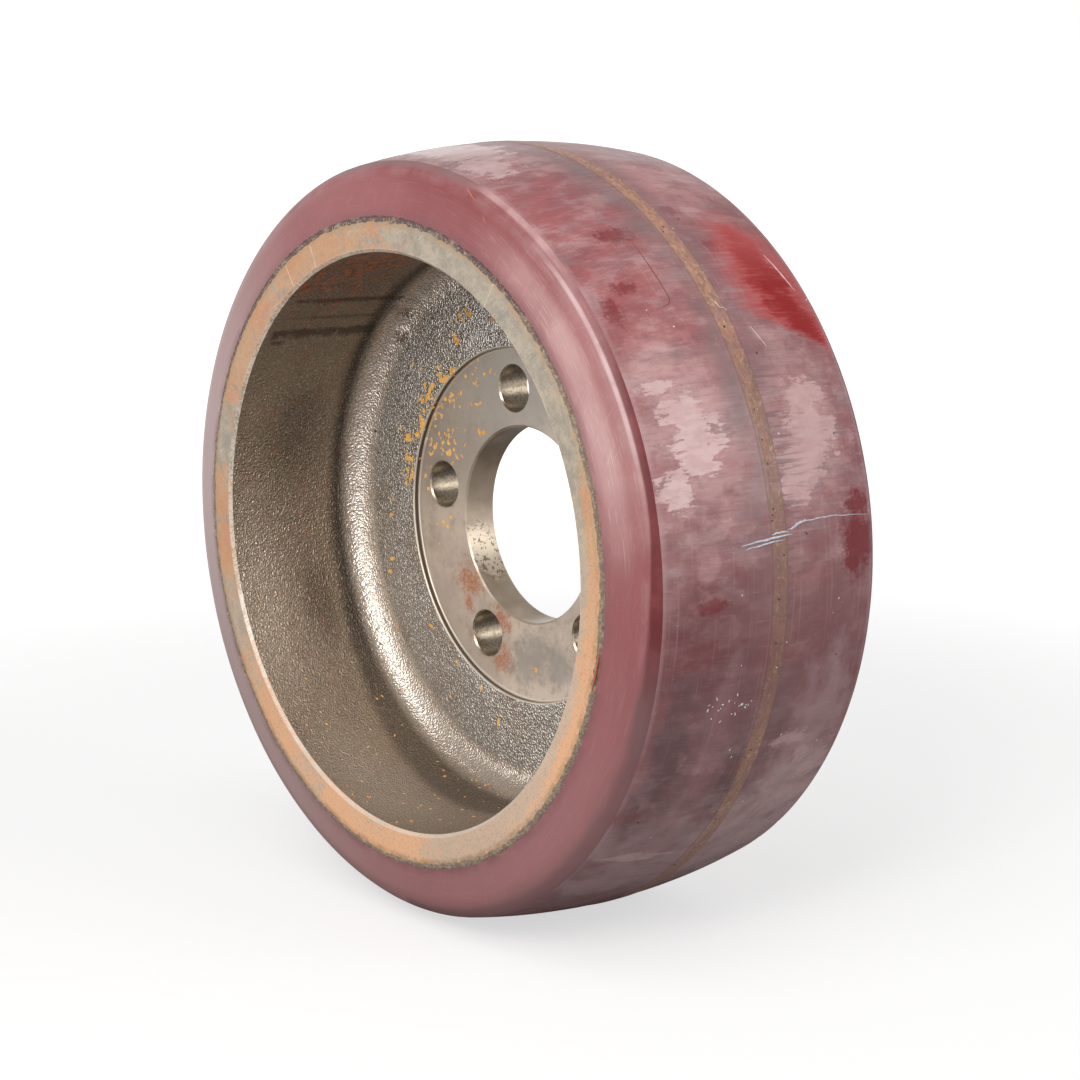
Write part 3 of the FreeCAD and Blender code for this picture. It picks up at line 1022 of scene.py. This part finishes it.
def rim_ends():
    """Rim end faces: pale scored iron under orange rust that lies in long patches."""
    skin = Finish("rusty_rim_end")
    medium = skin.noise(7, 2, 4, 0.6)
    fine = skin.noise(0.8, 3, 3, 0.6)
    sweep = skin.polar_noise(14, 9, 98, 8, 5, 0.65)
    brushed = skin.polar_noise(2.2, 5, 98, 12, 5, 0.7)
    mottle = skin.noise(2.4, 5, 5, 0.65)
    skin.colour = skin.mix(
        skin.ramp(skin.add(skin.times(medium, 0.5), skin.times(mottle, 0.5)), 0.38, 0.62),
        (152, 143, 129), (182, 169, 151),
    )
    stretches = skin.most(skin.nearness([(angle, 0, 97, length, 400) for angle, length in RIM_RUST]), -0.7)
    grain = skin.add(skin.times(sweep, 1.1), skin.times(mottle, 1.1), skin.times(brushed, 0.8))
    right_side = skin.ramp(skin.towards(105), 0.5, 0.9)
    outer_half = skin.times(skin.ramp(skin.radius, 94.5 * MM, 99.5 * MM, -1.0, 1.0), right_side)
    rust_field = skin.add(skin.times(stretches, 0.5), skin.times(outer_half, 0.45), grain, -1.5)
    rusty = skin.ramp(rust_field, -0.14, 0.26)
    # Painted light: the rim end and its rust paler towards the bottom
    rim_light_below = skin.times(skin.ramp(skin.towards(165), -0.3, 0.9), 0.75)
    rust = skin.mix(skin.ramp(sweep, 0.4, 0.65), (200, 152, 112), (204, 138, 92))
    rust = skin.mix(rim_light_below, rust, (252, 194, 148))
    skin.coat((240, 206, 178), rim_light_below)
    skin.coat(rust, rusty, 0.85)
    skin.coat((128, 112, 98), skin.ramp(fine, 0.52, 0.66), 0.3)
    scored = skin.most(
        skin.ramp(skin.strokes(35, 0.25, 6, 9), 0.66, 0.74),
        skin.ramp(skin.strokes(100, 0.25, 5, 10), 0.66, 0.74),
        skin.ramp(skin.strokes(150, 0.22, 7, 11), 0.67, 0.75),
    )
    skin.coat((216, 206, 192), scored, 0.62)
    stained = skin.times(skin.ramp(skin.radius, 99.6 * MM, 101.2 * MM), skin.ramp(mottle, 0.36, 0.58))
    skin.coat((178, 140, 98), stained, 0.6)
    for angle, width in RIM_SCRATCHES:
        skin.coat((226, 218, 206), skin.radial_line(angle, width), skin.ramp(mottle, 0.4, 0.6, 0.2, 0.8))
    inner_edge = skin.ramp(skin.radius, rim_inner_radius + 1.3 * MM, rim_inner_radius + 0.9 * MM)
    chipped = skin.ramp(skin.add(fine, skin.times(medium, 0.5)), 0.6, 0.85, 0.1, 0.85)
    skin.coat((226, 216, 202), inner_edge, chipped)
    metal = skin.calc("MULTIPLY_ADD", rusty, -0.3, 0.35)
    height = skin.add(skin.times(brushed, 0.5), skin.times(scored, -0.5), skin.times(fine, 0.6))
    return skin.finish(rough=0.46, metal=metal, normal=skin.bump(height, 0.06, 0.6))


def drilled_holes():
    """Walls of the bolt holes: drilled, grainy bare iron."""
    skin = Finish("drilled_hole_wall")
    grains = skin.noise(0.8, 1, 3, 0.6)
    skin.colour = skin.mix(skin.ramp(grains, 0.42, 0.66), (178, 165, 146), (142, 126, 105))
    return skin.finish(rough=0.28, metal=0.85, normal=skin.bump(grains, 0.02, 0.6))


def residue():
    """Bonding residue round the rim: beige fuzz between dark purple edges, with ochre grains."""
    skin = Finish("bonding_residue")
    coarse = skin.noise(5.0, 1, 4, 0.7)
    grains = skin.noise(0.9, 2, 4, 0.7)
    skin.colour = skin.mix(skin.ramp(grains, 0.38, 0.62), (140, 124, 108), (176, 158, 134))
    skin.coat((188, 146, 102), skin.ramp(coarse, 0.56, 0.68), 0.5)
    darker = skin.times(skin.ramp(skin.towards(-12), 0.3, 0.8, 0.4, 1.0), skin.ramp(coarse, 0.3, 0.5))
    skin.coat((92, 73, 73), skin.ramp(grains, 0.64, 0.5), darker, 0.85)
    wander = skin.calc("MULTIPLY_ADD", coarse, 1.6 * MM, -0.8 * MM)
    outer = skin.ramp(skin.add(skin.radius, wander), bond_radius - 0.7 * MM, bond_radius + 0.1 * MM)
    skin.coat((88, 66, 70), outer, darker, 0.9)
    return skin.finish(rough=0.85, normal=skin.bump(grains, 0.3, 0.8))


def plain_speckled(name, low, high, cell, rough):
    """Matt material that wanders between two colours."""
    skin = Finish(name)
    skin.colour = skin.mix(skin.ramp(skin.noise(cell, 1, 3), 0.35, 0.65), low, high)
    return skin.finish(rough=rough, normal=skin.bump(skin.noise(cell / 3, 2, 2), 0.1, 0.5))


cast_finish = as_cast_skin()
turned_finish = turned_faces()
rim_finish = rim_ends()
drilled_finish = drilled_holes()
side_finish = moulded_sides()
running_finish = running_surface()
residue_finish = residue()
rust_finish = plain_speckled("orange_rust", (232, 158, 62), (255, 196, 104), 1.2, 0.9)
grime_finish = plain_speckled("dark_pit", (52, 28, 24), (112, 66, 42), 0.8, 0.9)
fleck_finish = plain_speckled("pale_fleck", (214, 204, 204), (236, 230, 230), 0.8, 0.6)
fibre_finish = plain_speckled("bond_fibre", (150, 126, 98), (196, 172, 138), 2.0, 0.8)
scuff_finish = plain_speckled("pale_scuff", (192, 160, 160), (214, 186, 186), 1.5, 0.5)
line_finish = plain_speckled("brown_line", (92, 52, 50), (122, 72, 70), 1.5, 0.6)
torn_finish = plain_speckled("torn_lip", (176, 184, 196), (206, 208, 216), 1.5, 0.4)
strand_finish = plain_speckled("red_strand", (170, 56, 42), (208, 104, 72), 2.0, 0.45)


# Casting

def bump_round(point, place, width):
    """1 at a place, falling smoothly to 0 at width away."""
    share = min((point - place).length / width, 1.0)
    return (1 - share * share) ** 2


def waves(point, height, size, shift=(0, 0, 0)):
    """Height at a point of smooth random waves of a size; shift takes them from another place."""
    return height * noise.noise(point / size + Vector(shift))


lumps = [(on_wheel(angle, station * MM, radius * MM), width * MM, height * MM)
         for angle, station, radius, width, height in CAST_LUMPS]


def cast_relief(point):
    """How far the as-cast skin stands out of the casting's clean form at a point."""
    radius = radius_of(point)
    beside_seat = radius < seat_radius + 1.2 * MM
    on_rim_end = radius > rim_inner_radius + 0.2 * MM or abs(point.y) > half_width - 1.6 * MM
    if beside_seat or on_rim_end:
        return 0.0
    relief = waves(point, 0.10 * MM, 3.2 * MM) + waves(point, 0.16 * MM, 11 * MM, (3, 5, 7))
    for place, width, height in lumps:
        relief += height * bump_round(point, place, width)
    if point.y < web_front:
        for angle, first, last, width, depth in WALL_GROOVES:
            aside = abs(turn_of(point) - angle) * math.radians(1) * radius / (width * MM)
            if aside < 1 and first * MM < point.y < last * MM:
                relief -= depth * MM * (1 - aside ** 2) ** 2
    return relief


def bolt_hole_cutter():
    """One mesh with a chamfered plug for each bolt hole."""
    plug = bmesh.new()
    hole_steps = 64
    past = 1.0 * MM
    rings = [
        (seat_station - past, bolt_hole_radius + edge_chamfer + past),
        (seat_station + edge_chamfer, bolt_hole_radius),
        (back_seat_station - edge_chamfer, bolt_hole_radius),
        (back_seat_station + past, bolt_hole_radius + edge_chamfer + past),
    ]
    for index in range(bolt_count):
        middle = radial(bolt_circle_turn + index * 360 / bolt_count) * bolt_circle_radius
        rows = []
        for station, radius in rings:
            row = []
            for step in range(hole_steps):
                offset = radial(360 * step / hole_steps) * radius
                row.append(plug.verts.new(middle + offset + Vector((0, station, 0))))
            rows.append(row)
        for row, next_row in zip(rows, rows[1:]):
            for step in range(hole_steps):
                after = (step + 1) % hole_steps
                plug.faces.new((row[step], row[after], next_row[after], next_row[step]))
        plug.faces.new(rows[0][::-1])
        plug.faces.new(rows[-1])
    bmesh.ops.recalc_face_normals(plug, faces=plug.faces)
    mesh = bpy.data.meshes.new("bolt_hole_cutter")
    plug.to_mesh(mesh)
    plug.free()
    return mesh


def with_holes(piece, cutter):
    """Cuts the bolt holes out of the casting; their walls keep the cutter's material."""
    cut = piece.modifiers.new("bolt_holes", "BOOLEAN")
    cut.operation = "DIFFERENCE"
    cut.solver = "EXACT"
    cut.object = cutter
    cut.material_mode = "TRANSFER"
    baked(piece)
    bpy.data.objects.remove(cutter)


hub = new_piece(
    "hub_casting",
    turned_mesh("hub_casting", hub_section(), HUB_STEPS, cast_relief),
    cast_finish, turned_finish, rim_finish,
)
with_holes(hub, new_piece("bolt_hole_cutter", bolt_hole_cutter(), drilled_finish))
smooth_by_angle(hub.data, 28)


# Tread

def tread_relief(point):
    """How far the worn tread stands off its clean form at a point."""
    if radius_of(point) < bond_radius + 0.5 * MM:
        return 0.0
    relief = waves(point, 0.05 * MM, 24 * MM)
    if abs(point.y) < tread_edge_station - 1 * MM:
        drawn_out = Vector((point.x / 4, point.y / 16, point.z / 4))
        relief += waves(drawn_out, 0.025 * MM, MM)
    beside_edge = abs(abs(point.y) - tread_edge_station) < 0.4 * MM
    if beside_edge:
        nick = waves(point, 1.0, 5 * MM) + waves(point, 0.6, 1.6 * MM)
        relief -= 0.12 * MM * max(0.0, nick - 0.25)
    return relief


tread = new_piece(
    "tread_body",
    turned_mesh("tread_body", tread_section(), TREAD_STEPS, tread_relief),
    side_finish, running_finish,
)
smooth_by_angle(tread.data, 14)


# Bonding residue on the rim's outer edges

def residue_mesh(name, side):
    """Ragged crust over the bond line on one side of the wheel, as a closed ring."""
    points = []
    across_steps = 8
    slope = (half_width - bond_half_width) / (bond_radius - face_outer_radius)
    for step in range(RESIDUE_STEPS):
        angle = 360 * step / RESIDUE_STEPS
        direction = radial(angle) * 100
        inner_wave = waves(direction, 0.7 * MM, 2.2, (side, 0, 0))
        outer_wave = waves(direction, 0.45 * MM, 1.5, (side * 9, 4, 0))
        inner = face_outer_radius + 0.6 * MM + inner_wave
        outer = bond_radius + 0.25 * MM + outer_wave
        for index in range(across_steps + 1):
            share = index / across_steps
            radius = inner + (outer - inner) * share
            base = half_width - max(0.0, radius - face_outer_radius) * slope
            if radius > bond_radius:
                base = bond_half_width - (radius - bond_radius) * side_taper
            grain = noise.noise(Vector((direction.x, share * 5, direction.z)) / 0.9)
            crust = (0.10 + 0.18 * grain) * math.sin(math.pi * share) ** 0.6
            points.append(on_wheel(angle, side * (base + max(crust, -0.05) * MM), radius))
        points.append(on_wheel(angle, side * (bond_half_width - 0.8 * MM), (inner + outer) / 2))
    mesh = ring_mesh(name, points, RESIDUE_STEPS, across_steps + 2, side < 0)
    mesh.validate()
    return mesh


front_residue = new_piece("front_bond_residue", residue_mesh("front_bond_residue", -1), residue_finish)
back_residue = new_piece("back_bond_residue", residue_mesh("back_bond_residue", 1), residue_finish)


# Scattered grains, flakes, pits and flecks

def lumpy_mesh(name, size, seed, flat, rounds=2):
    """Small irregular stone of a given size, flattened along Z; one round leaves it with twenty faces."""
    grain = bmesh.new()
    bmesh.ops.create_icosphere(grain, subdivisions=rounds, radius=size / 2)
    for vert in grain.verts:
        swell = 1 + 0.45 * noise.noise(vert.co / size * 3 + Vector((seed * 5, seed, 0)))
        vert.co *= swell
        vert.co.z *= flat
    mesh = bpy.data.meshes.new(name)
    grain.to_mesh(mesh)
    grain.free()
    return mesh


def scatter_tree():
    """Node tree that scatters copies of a flake over a piece, by the piece's own share attribute."""
    tree = bpy.data.node_groups.new("scatter_on_piece", "GeometryNodeTree")
    sockets = {}
    for label, kind in (
        ("Geometry", "NodeSocketGeometry"),
        ("Flake", "NodeSocketObject"),
        ("Per square metre", "NodeSocketFloat"),
        ("Seed", "NodeSocketInt"),
        ("Smallest", "NodeSocketVector"),
        ("Largest", "NodeSocketVector"),
        ("Tilt", "NodeSocketFloat"),
        ("Material", "NodeSocketMaterial"),
    ):
        sockets[label] = tree.interface.new_socket(name=label, in_out="INPUT", socket_type=kind).identifier
    tree.interface.new_socket(name="Geometry", in_out="OUTPUT", socket_type="NodeSocketGeometry")
    graph = Graph(tree)
    given = graph.node("NodeGroupInput").outputs
    share = graph.node("GeometryNodeInputNamedAttribute", {"Name": "share"}, data_type="FLOAT")
    spread = graph.node("GeometryNodeDistributePointsOnFaces", {
        "Mesh": given["Geometry"],
        "Density": graph.times(share.outputs["Attribute"], given["Per square metre"]),
        "Seed": given["Seed"],
    }).outputs

    def any_between(least, most):
        """Random vector for each copy."""
        inputs = {"Min": least, "Max": most, "Seed": given["Seed"]}
        return graph.node("FunctionNodeRandomValue", inputs, data_type="FLOAT_VECTOR").outputs["Value"]

    lean = graph.together(given["Tilt"], given["Tilt"], math.pi)
    spin = any_between(graph.vector("MULTIPLY", lean, (-1, -1, -1)), lean)
    turned = graph.node("FunctionNodeRotateRotation", {
        "Rotation": spread["Rotation"],
        "Rotate By": spin,
    }, rotation_space="LOCAL")
    flake = graph.node("GeometryNodeObjectInfo", {"Object": given["Flake"]})
    copies = graph.node("GeometryNodeInstanceOnPoints", {
        "Points": spread["Points"],
        "Instance": flake.outputs["Geometry"],
        "Rotation": turned.outputs["Rotation"],
        "Scale": any_between(given["Smallest"], given["Largest"]),
    })
    real = graph.node("GeometryNodeRealizeInstances", {"Geometry": copies.outputs["Instances"]})
    painted = graph.node("GeometryNodeSetMaterial", {
        "Geometry": real.outputs["Geometry"],
        "Material": given["Material"],
    })
    graph.node("NodeGroupOutput", {"Geometry": painted.outputs["Geometry"]})
    return tree, sockets


scatter_nodes, scatter_inputs = scatter_tree()


def scattered(name, base, share_at, flake_mesh, material, density, seed, smallest, largest, tilt=0.0):
    """New piece of flakes over a base piece: density to the square metre where share_at(point) is 1.

    Each flake is scaled between smallest and largest, and leans by up to tilt radians.
    """
    carrier = bpy.data.objects.new(name, base.data.copy())
    bpy.context.scene.collection.objects.link(carrier)
    shares = [share_at(vert.co) for vert in carrier.data.vertices]
    carrier.data.attributes.new("share", "FLOAT", "POINT").data.foreach_set("value", shares)
    flake = bpy.data.objects.new(name + "_flake", flake_mesh)
    bpy.context.scene.collection.objects.link(flake)
    modifier = carrier.modifiers.new("scatter", "NODES")
    modifier.node_group = scatter_nodes
    for label, value in (
        ("Flake", flake),
        ("Per square metre", density),
        ("Seed", seed),
        ("Smallest", smallest),
        ("Largest", largest),
        ("Tilt", tilt),
        ("Material", material),
    ):
        modifier[scatter_inputs[label]] = value
    baked(carrier)
    bpy.data.objects.remove(flake)
    return carrier


rust_places = [(on_wheel(angle, web_front, radius * MM), size * 1.5 * MM)
               for angle, radius, size in RUST_SPLASHES]


def rust_share(point):
    """Where orange flakes lie on the web and seat."""
    off_edges = bore_radius + 2 * MM < radius_of(point) < 80 * MM
    in_dish = web_front - MM < point.y < seat_station + 0.1 * MM
    if not (off_edges and in_dish):
        return 0.0
    share = max(bump_round(point, place, width) for place, width in rust_places)
    return share * max(0.0, noise.noise(point / (4 * MM)) + 0.35) + 0.008


rust_flakes = scattered(
    "rust_flakes", hub, rust_share, lumpy_mesh("rust_flake", 1.0 * MM, seed=1, flat=0.12), rust_finish,
    density=260000, seed=3, smallest=(0.5, 0.5, 0.6), largest=(3.0, 1.8, 1.0),
)


def wall_speck_share(point):
    """Where ochre specks lie on the dish wall: along its bottom."""
    radius = radius_of(point)
    on_wall = 84 * MM <= radius <= rim_inner_radius and -48 * MM <= point.y <= 0
    if not on_wall:
        return 0.0
    low = max(0.0, -point.z / radius - 0.55)
    return low * max(0.0, noise.noise(point / (6 * MM)) - 0.05)


wall_specks = scattered(
    "wall_specks", hub, wall_speck_share, lumpy_mesh("wall_speck", 0.8 * MM, seed=2, flat=0.15), rust_finish,
    density=420000, seed=5, smallest=(0.4, 0.4, 0.6), largest=(2.0, 1.0, 1.2),
)


def residue_share(point):
    """Crumbs lie on the outward side of the crust."""
    return 1.0 if abs(point.y) > bond_half_width - 0.2 * MM else 0.0


crumbs = []
for side, crust, crumb_seed in (("front", front_residue, 3), ("back", back_residue, 4)):
    crumb = lumpy_mesh(f"{side}_crumb", 0.6 * MM, crumb_seed, flat=0.7, rounds=1)
    crumbs.append(scattered(
        f"{side}_bond_crumbs", crust, residue_share, crumb, residue_finish,
        density=90000, seed=crumb_seed + 4, smallest=(0.3, 0.3, 0.2), largest=(1.0, 0.7, 0.6),
    ))


def fibre_share(point):
    """Torn fibres stand along the outer edge of the front crust, most on its left."""
    if radius_of(point) < bond_radius - 0.9 * MM or point.y > -bond_half_width + 0.3 * MM:
        return 0.0
    thick = 1.0 if -145 < turn_of(point) < -60 else 0.25
    return thick * max(0.0, 0.5 + noise.noise(point / (5 * MM)))


fibre = lumpy_mesh("bond_fibre", 1.0 * MM, seed=7, flat=1.0, rounds=1)
fibres = scattered(
    "front_bond_fibres", front_residue, fibre_share, fibre, fibre_finish,
    density=2600000, seed=17, smallest=(0.12, 0.12, 0.5), largest=(0.26, 0.26, 1.9), tilt=0.9,
)


def on_crown(point):
    """True for a point of the running surface."""
    return abs(point.y) <= tread_edge_station and radius_of(point) >= bond_radius + 5 * MM


def pit_share(point):
    """Dark pits along the parting band's front half, and a few all over the tread."""
    if not on_crown(point):
        return 0.0
    return 1.0 if -2.6 * MM < point.y < 0.6 * MM else 0.022


tread_pits = scattered(
    "tread_pits", tread, pit_share, lumpy_mesh("tread_pit", 0.8 * MM, seed=5, flat=0.05), grime_finish,
    density=22000, seed=11, smallest=(0.5, 0.5, 1.0), largest=(1.4, 1.1, 1.0),
)


def fleck_share(point):
    """Pale flecks in one cluster on the tread, and a few elsewhere."""
    if not on_crown(point):
        return 0.0
    cluster_turn = 106.3
    cluster_station = -15 * MM
    aside = (turn_of(point) - cluster_turn) / 2.6
    along = (point.y - cluster_station) / (11 * MM)
    return max(0.0, 1 - aside * aside - along * along) + 0.004


tread_flecks = scattered(
    "tread_flecks", tread, fleck_share, lumpy_mesh("tread_fleck", 0.8 * MM, seed=6, flat=0.12), fleck_finish,
    density=240000, seed=13, smallest=(0.3, 0.3, 0.6), largest=(1.5, 0.7, 1.2),
)


# Torn lips, strand, hair and scratches

def tube_piece(name, points, thickness, material, taper=True):
    """Thin round strand through points, thinner at its ends where taper is True."""
    curve = bpy.data.curves.new(name, "CURVE")
    curve.dimensions = "3D"
    curve.bevel_depth = thickness / 2
    curve.bevel_resolution = 2
    curve.use_fill_caps = True
    spline = curve.splines.new("NURBS")
    spline.points.add(len(points) - 1)
    spline.use_endpoint_u = True
    spline.order_u = 4
    spline.resolution_u = 6
    for index, (target, point) in enumerate(zip(spline.points, points)):
        target.co = (*point, 1)
        if taper:
            target.radius = 0.25 + 0.75 * math.sin(math.pi * index / (len(points) - 1))
    carrier = bpy.data.objects.new(name + "_curve", curve)
    bpy.context.scene.collection.objects.link(carrier)
    mesh = evaluated_mesh(carrier)
    bpy.data.objects.remove(carrier)
    mesh.polygons.foreach_set("use_smooth", [True] * len(mesh.polygons))
    return new_piece(name, mesh, material)


# Fixed seed for the wander of the lines over the tread
random.seed(4)


def along_tread(start, end, steps, lift, wander):
    """Points over the running surface from one (angle, station) place to another."""
    points = []
    for step in range(steps + 1):
        share = step / steps
        angle = start[0] + (end[0] - start[0]) * share + random.uniform(-wander, wander)
        station = (start[1] + (end[1] - start[1]) * share) * MM
        top = band_top if abs(station) < half_band else band_top - band_height
        points.append(on_wheel(angle, station, crown_at(station, top) + lift))
    return points


# Torn lips of the tread: thickness in mm and the places, each an angle and a station, that the lip joins
TORN_LIPS = [
    (0.8, [(83.5, -14.5), (83.0, -4), (82.9, 5.5)]),
    (0.6, [(84.0, -13.0), (83.6, -6), (83.4, 2.0)]),
    (0.4, [(82.3, 2.5), (81.4, 11), (81.3, 24), (82.0, 41)]),
    (0.7, [(82.5, -3.0), (82.4, 0.5), (82.4, 4.0)]),
    (0.9, [(82.2, 4.5), (81.7, 7.5), (81.2, 11.5)]),
]
torn_lips = []
for number, (thickness, places) in enumerate(TORN_LIPS, 1):
    points = []
    for start, end in zip(places, places[1:]):
        points += along_tread(start, end, 7, 0, 0.1)[:-1]
    points += along_tread(places[-1], places[-1], 1, 0, 0.0)[:1]
    torn_lips.append(tube_piece(f"tread_torn_lip_{number}", points, thickness * MM, torn_finish))

points = placed([
    (99.2, -50.2, 103.0),
    (100.6, -50.9, 103.6),
    (102.0, -50.7, 103.2),
    (103.4, -50.8, 103.5),
    (104.8, -50.6, 102.8),
    (106.2, -50.3, 102.5),
])
strand = tube_piece("bond_strand", points, 0.65 * MM, strand_finish)
points = along_tread((48.5, -1.5), (51.0, 3.2), 8, 0.3 * MM, 0.5)
hair = tube_piece("tread_hair", points, 0.2 * MM, fleck_finish, taper=False)
points = along_tread((36.6, -15.4), (47.6, -15.2), 9, 0, 0.15)
points += along_tread((48.3, -16.2), (48.8, -19.5), 3, 0, 0.05)
crack = tube_piece("tread_crack", points, 0.3 * MM, line_finish)
points = along_tread((40.6, 34), (47.5, 38), 8, 0, 0.1)
score = tube_piece("tread_score", points, 0.6 * MM, scuff_finish)
points = along_tread((53.2, 9.6), (56.6, 12.8), 6, 0, 0.1)
short_score = tube_piece("tread_short_score", points, 0.5 * MM, scuff_finish)
points = placed([
    (23.3, -47.5, 114.1),
    (21.0, -46.7, 115.85),
    (18.5, -45.7, 117.45),
    (16.2, -44.9, 118.4),
])
side_scratch = tube_piece("side_scratch", points, 0.35 * MM, rust_finish)

pieces = {
    "cast_iron": [hub, rust_flakes, wall_specks],
    "polyurethane": [
        tread, front_residue, back_residue, *crumbs, fibres, tread_pits, tread_flecks,
        *torn_lips, strand, hair, crack, score, short_score, side_scratch,
    ],
}
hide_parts("cast_iron_hub")
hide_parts("polyurethane_tread")
for slot_name, members in pieces.items():
    for piece in members:
        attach(piece, "root")


# Floor, light and camera

def studio_floor():
    """Plain pale floor that keeps the wheel's shadow and looks white to the camera."""
    size = 8.0
    height = tread_low[2]
    corners = [(-size, -size, height), (size, -size, height), (size, size, height), (-size, size, height)]
    mesh = bpy.data.meshes.new("studio_floor")
    mesh.from_pydata(corners, [], [(0, 1, 2, 3)])
    material = bpy.data.materials.new("studio_floor")
    material.use_nodes = True
    graph = Graph(material.node_tree)
    graph.tree.nodes.remove(graph.tree.nodes["Principled BSDF"])
    rays = graph.node("ShaderNodeLightPath").outputs
    away = graph.length(graph.node("ShaderNodeTexCoord").outputs["Object"])

    # The glow is low beside the wheel and full far from it, for the camera and for mirrored rays
    seen = graph.times(rays["Is Camera Ray"], graph.ramp(away, 0.3, 0.9, 0.62, 1.0))
    mirrored = graph.most(rays["Is Glossy Ray"], rays["Is Transmission Ray"])
    mirrored = graph.times(mirrored, graph.ramp(away, 0.2, 0.8))
    grey = graph.number_mix(rays["Is Glossy Ray"], 0.42, 0.22)
    matt = graph.node("ShaderNodeBsdfDiffuse", {"Color": grey})
    glow = graph.node("ShaderNodeEmission", {"Strength": graph.add(seen, mirrored)})
    both = graph.node("ShaderNodeAddShader", {0: matt.outputs[0], 1: glow.outputs[0]})
    graph.feed(graph.tree.nodes["Material Output"].inputs["Surface"], both.outputs[0])
    floor = new_piece("studio_floor", mesh, material)


def studio_world():
    """White for the camera, a white horizon under a darker ceiling in reflections, soft light besides."""
    world = bpy.data.worlds.new("studio_world")
    bpy.context.scene.world = world
    world.use_nodes = True
    graph = Graph(world.node_tree)
    rays = graph.node("ShaderNodeLightPath").outputs
    direction = graph.node("ShaderNodeTexCoord").outputs["Generated"]
    upward = graph.node("ShaderNodeSeparateXYZ", {0: direction}).outputs["Z"]
    horizon = graph.ramp(upward, 0.32, 0.42, 1.0, 0.3, "LINEAR")
    strength = graph.number_mix(rays["Is Glossy Ray"], 0.36, horizon)
    strength = graph.number_mix(rays["Is Camera Ray"], strength, 1.0)
    background = graph.tree.nodes["Background"].inputs
    graph.feed(background["Color"], (1, 1, 1, 1))
    graph.feed(background["Strength"], strength)


def softbox(name, direction, distance, width, height, watts, colour):
    """Area light that faces the wheel's centre from a direction."""
    light = bpy.data.lights.new(name, "AREA")
    light.shape = "RECTANGLE"
    light.size = width
    light.size_y = height
    light.energy = watts
    light.color = colour
    lamp = bpy.data.objects.new(name, light)
    bpy.context.scene.collection.objects.link(lamp)
    towards = Vector(direction).normalized()
    lamp.location = towards * distance
    lamp.visible_camera = False
    lamp.rotation_euler = towards.to_track_quat("Z", "Y").to_euler()


def photo_camera():
    """Camera placed as the photo's was, found from the wheel's circles."""
    camera = bpy.data.cameras.new("photo_camera")
    camera.sensor_width = 36
    camera.lens = 99.58
    holder = bpy.data.objects.new("photo_camera", camera)
    bpy.context.scene.collection.objects.link(holder)
    holder.location = (0.74928, -0.59698, 0.18318)
    looks = Vector((-0.76256, 0.61771, -0.19218))
    holder.rotation_euler = looks.to_track_quat("-Z", "Y").to_euler()
    bpy.context.scene.camera = holder


bpy.context.scene.view_settings.view_transform = "Standard"
studio_floor()
studio_world()
softbox("key_softbox", (0.45, -0.72, 0.50), 1.8, 0.6, 0.6, 13, (1.0, 0.98, 0.95))
softbox("front_softbox", (0.10, -0.98, -0.10), 1.7, 0.9, 1.7, 7, (1.0, 0.99, 0.97))
softbox("left_softbox", (-0.50, -0.84, -0.20), 1.0, 0.6, 0.6, 2.6, (1.0, 0.99, 0.97))
softbox("side_softbox", (0.83, 0.42, 0.38), 1.6, 0.8, 0.8, 6, (1.0, 1.0, 1.0))
softbox("top_softbox", (0.25, -0.50, 0.83), 1.8, 1.2, 1.2, 9, (1.0, 1.0, 1.0))
photo_camera()
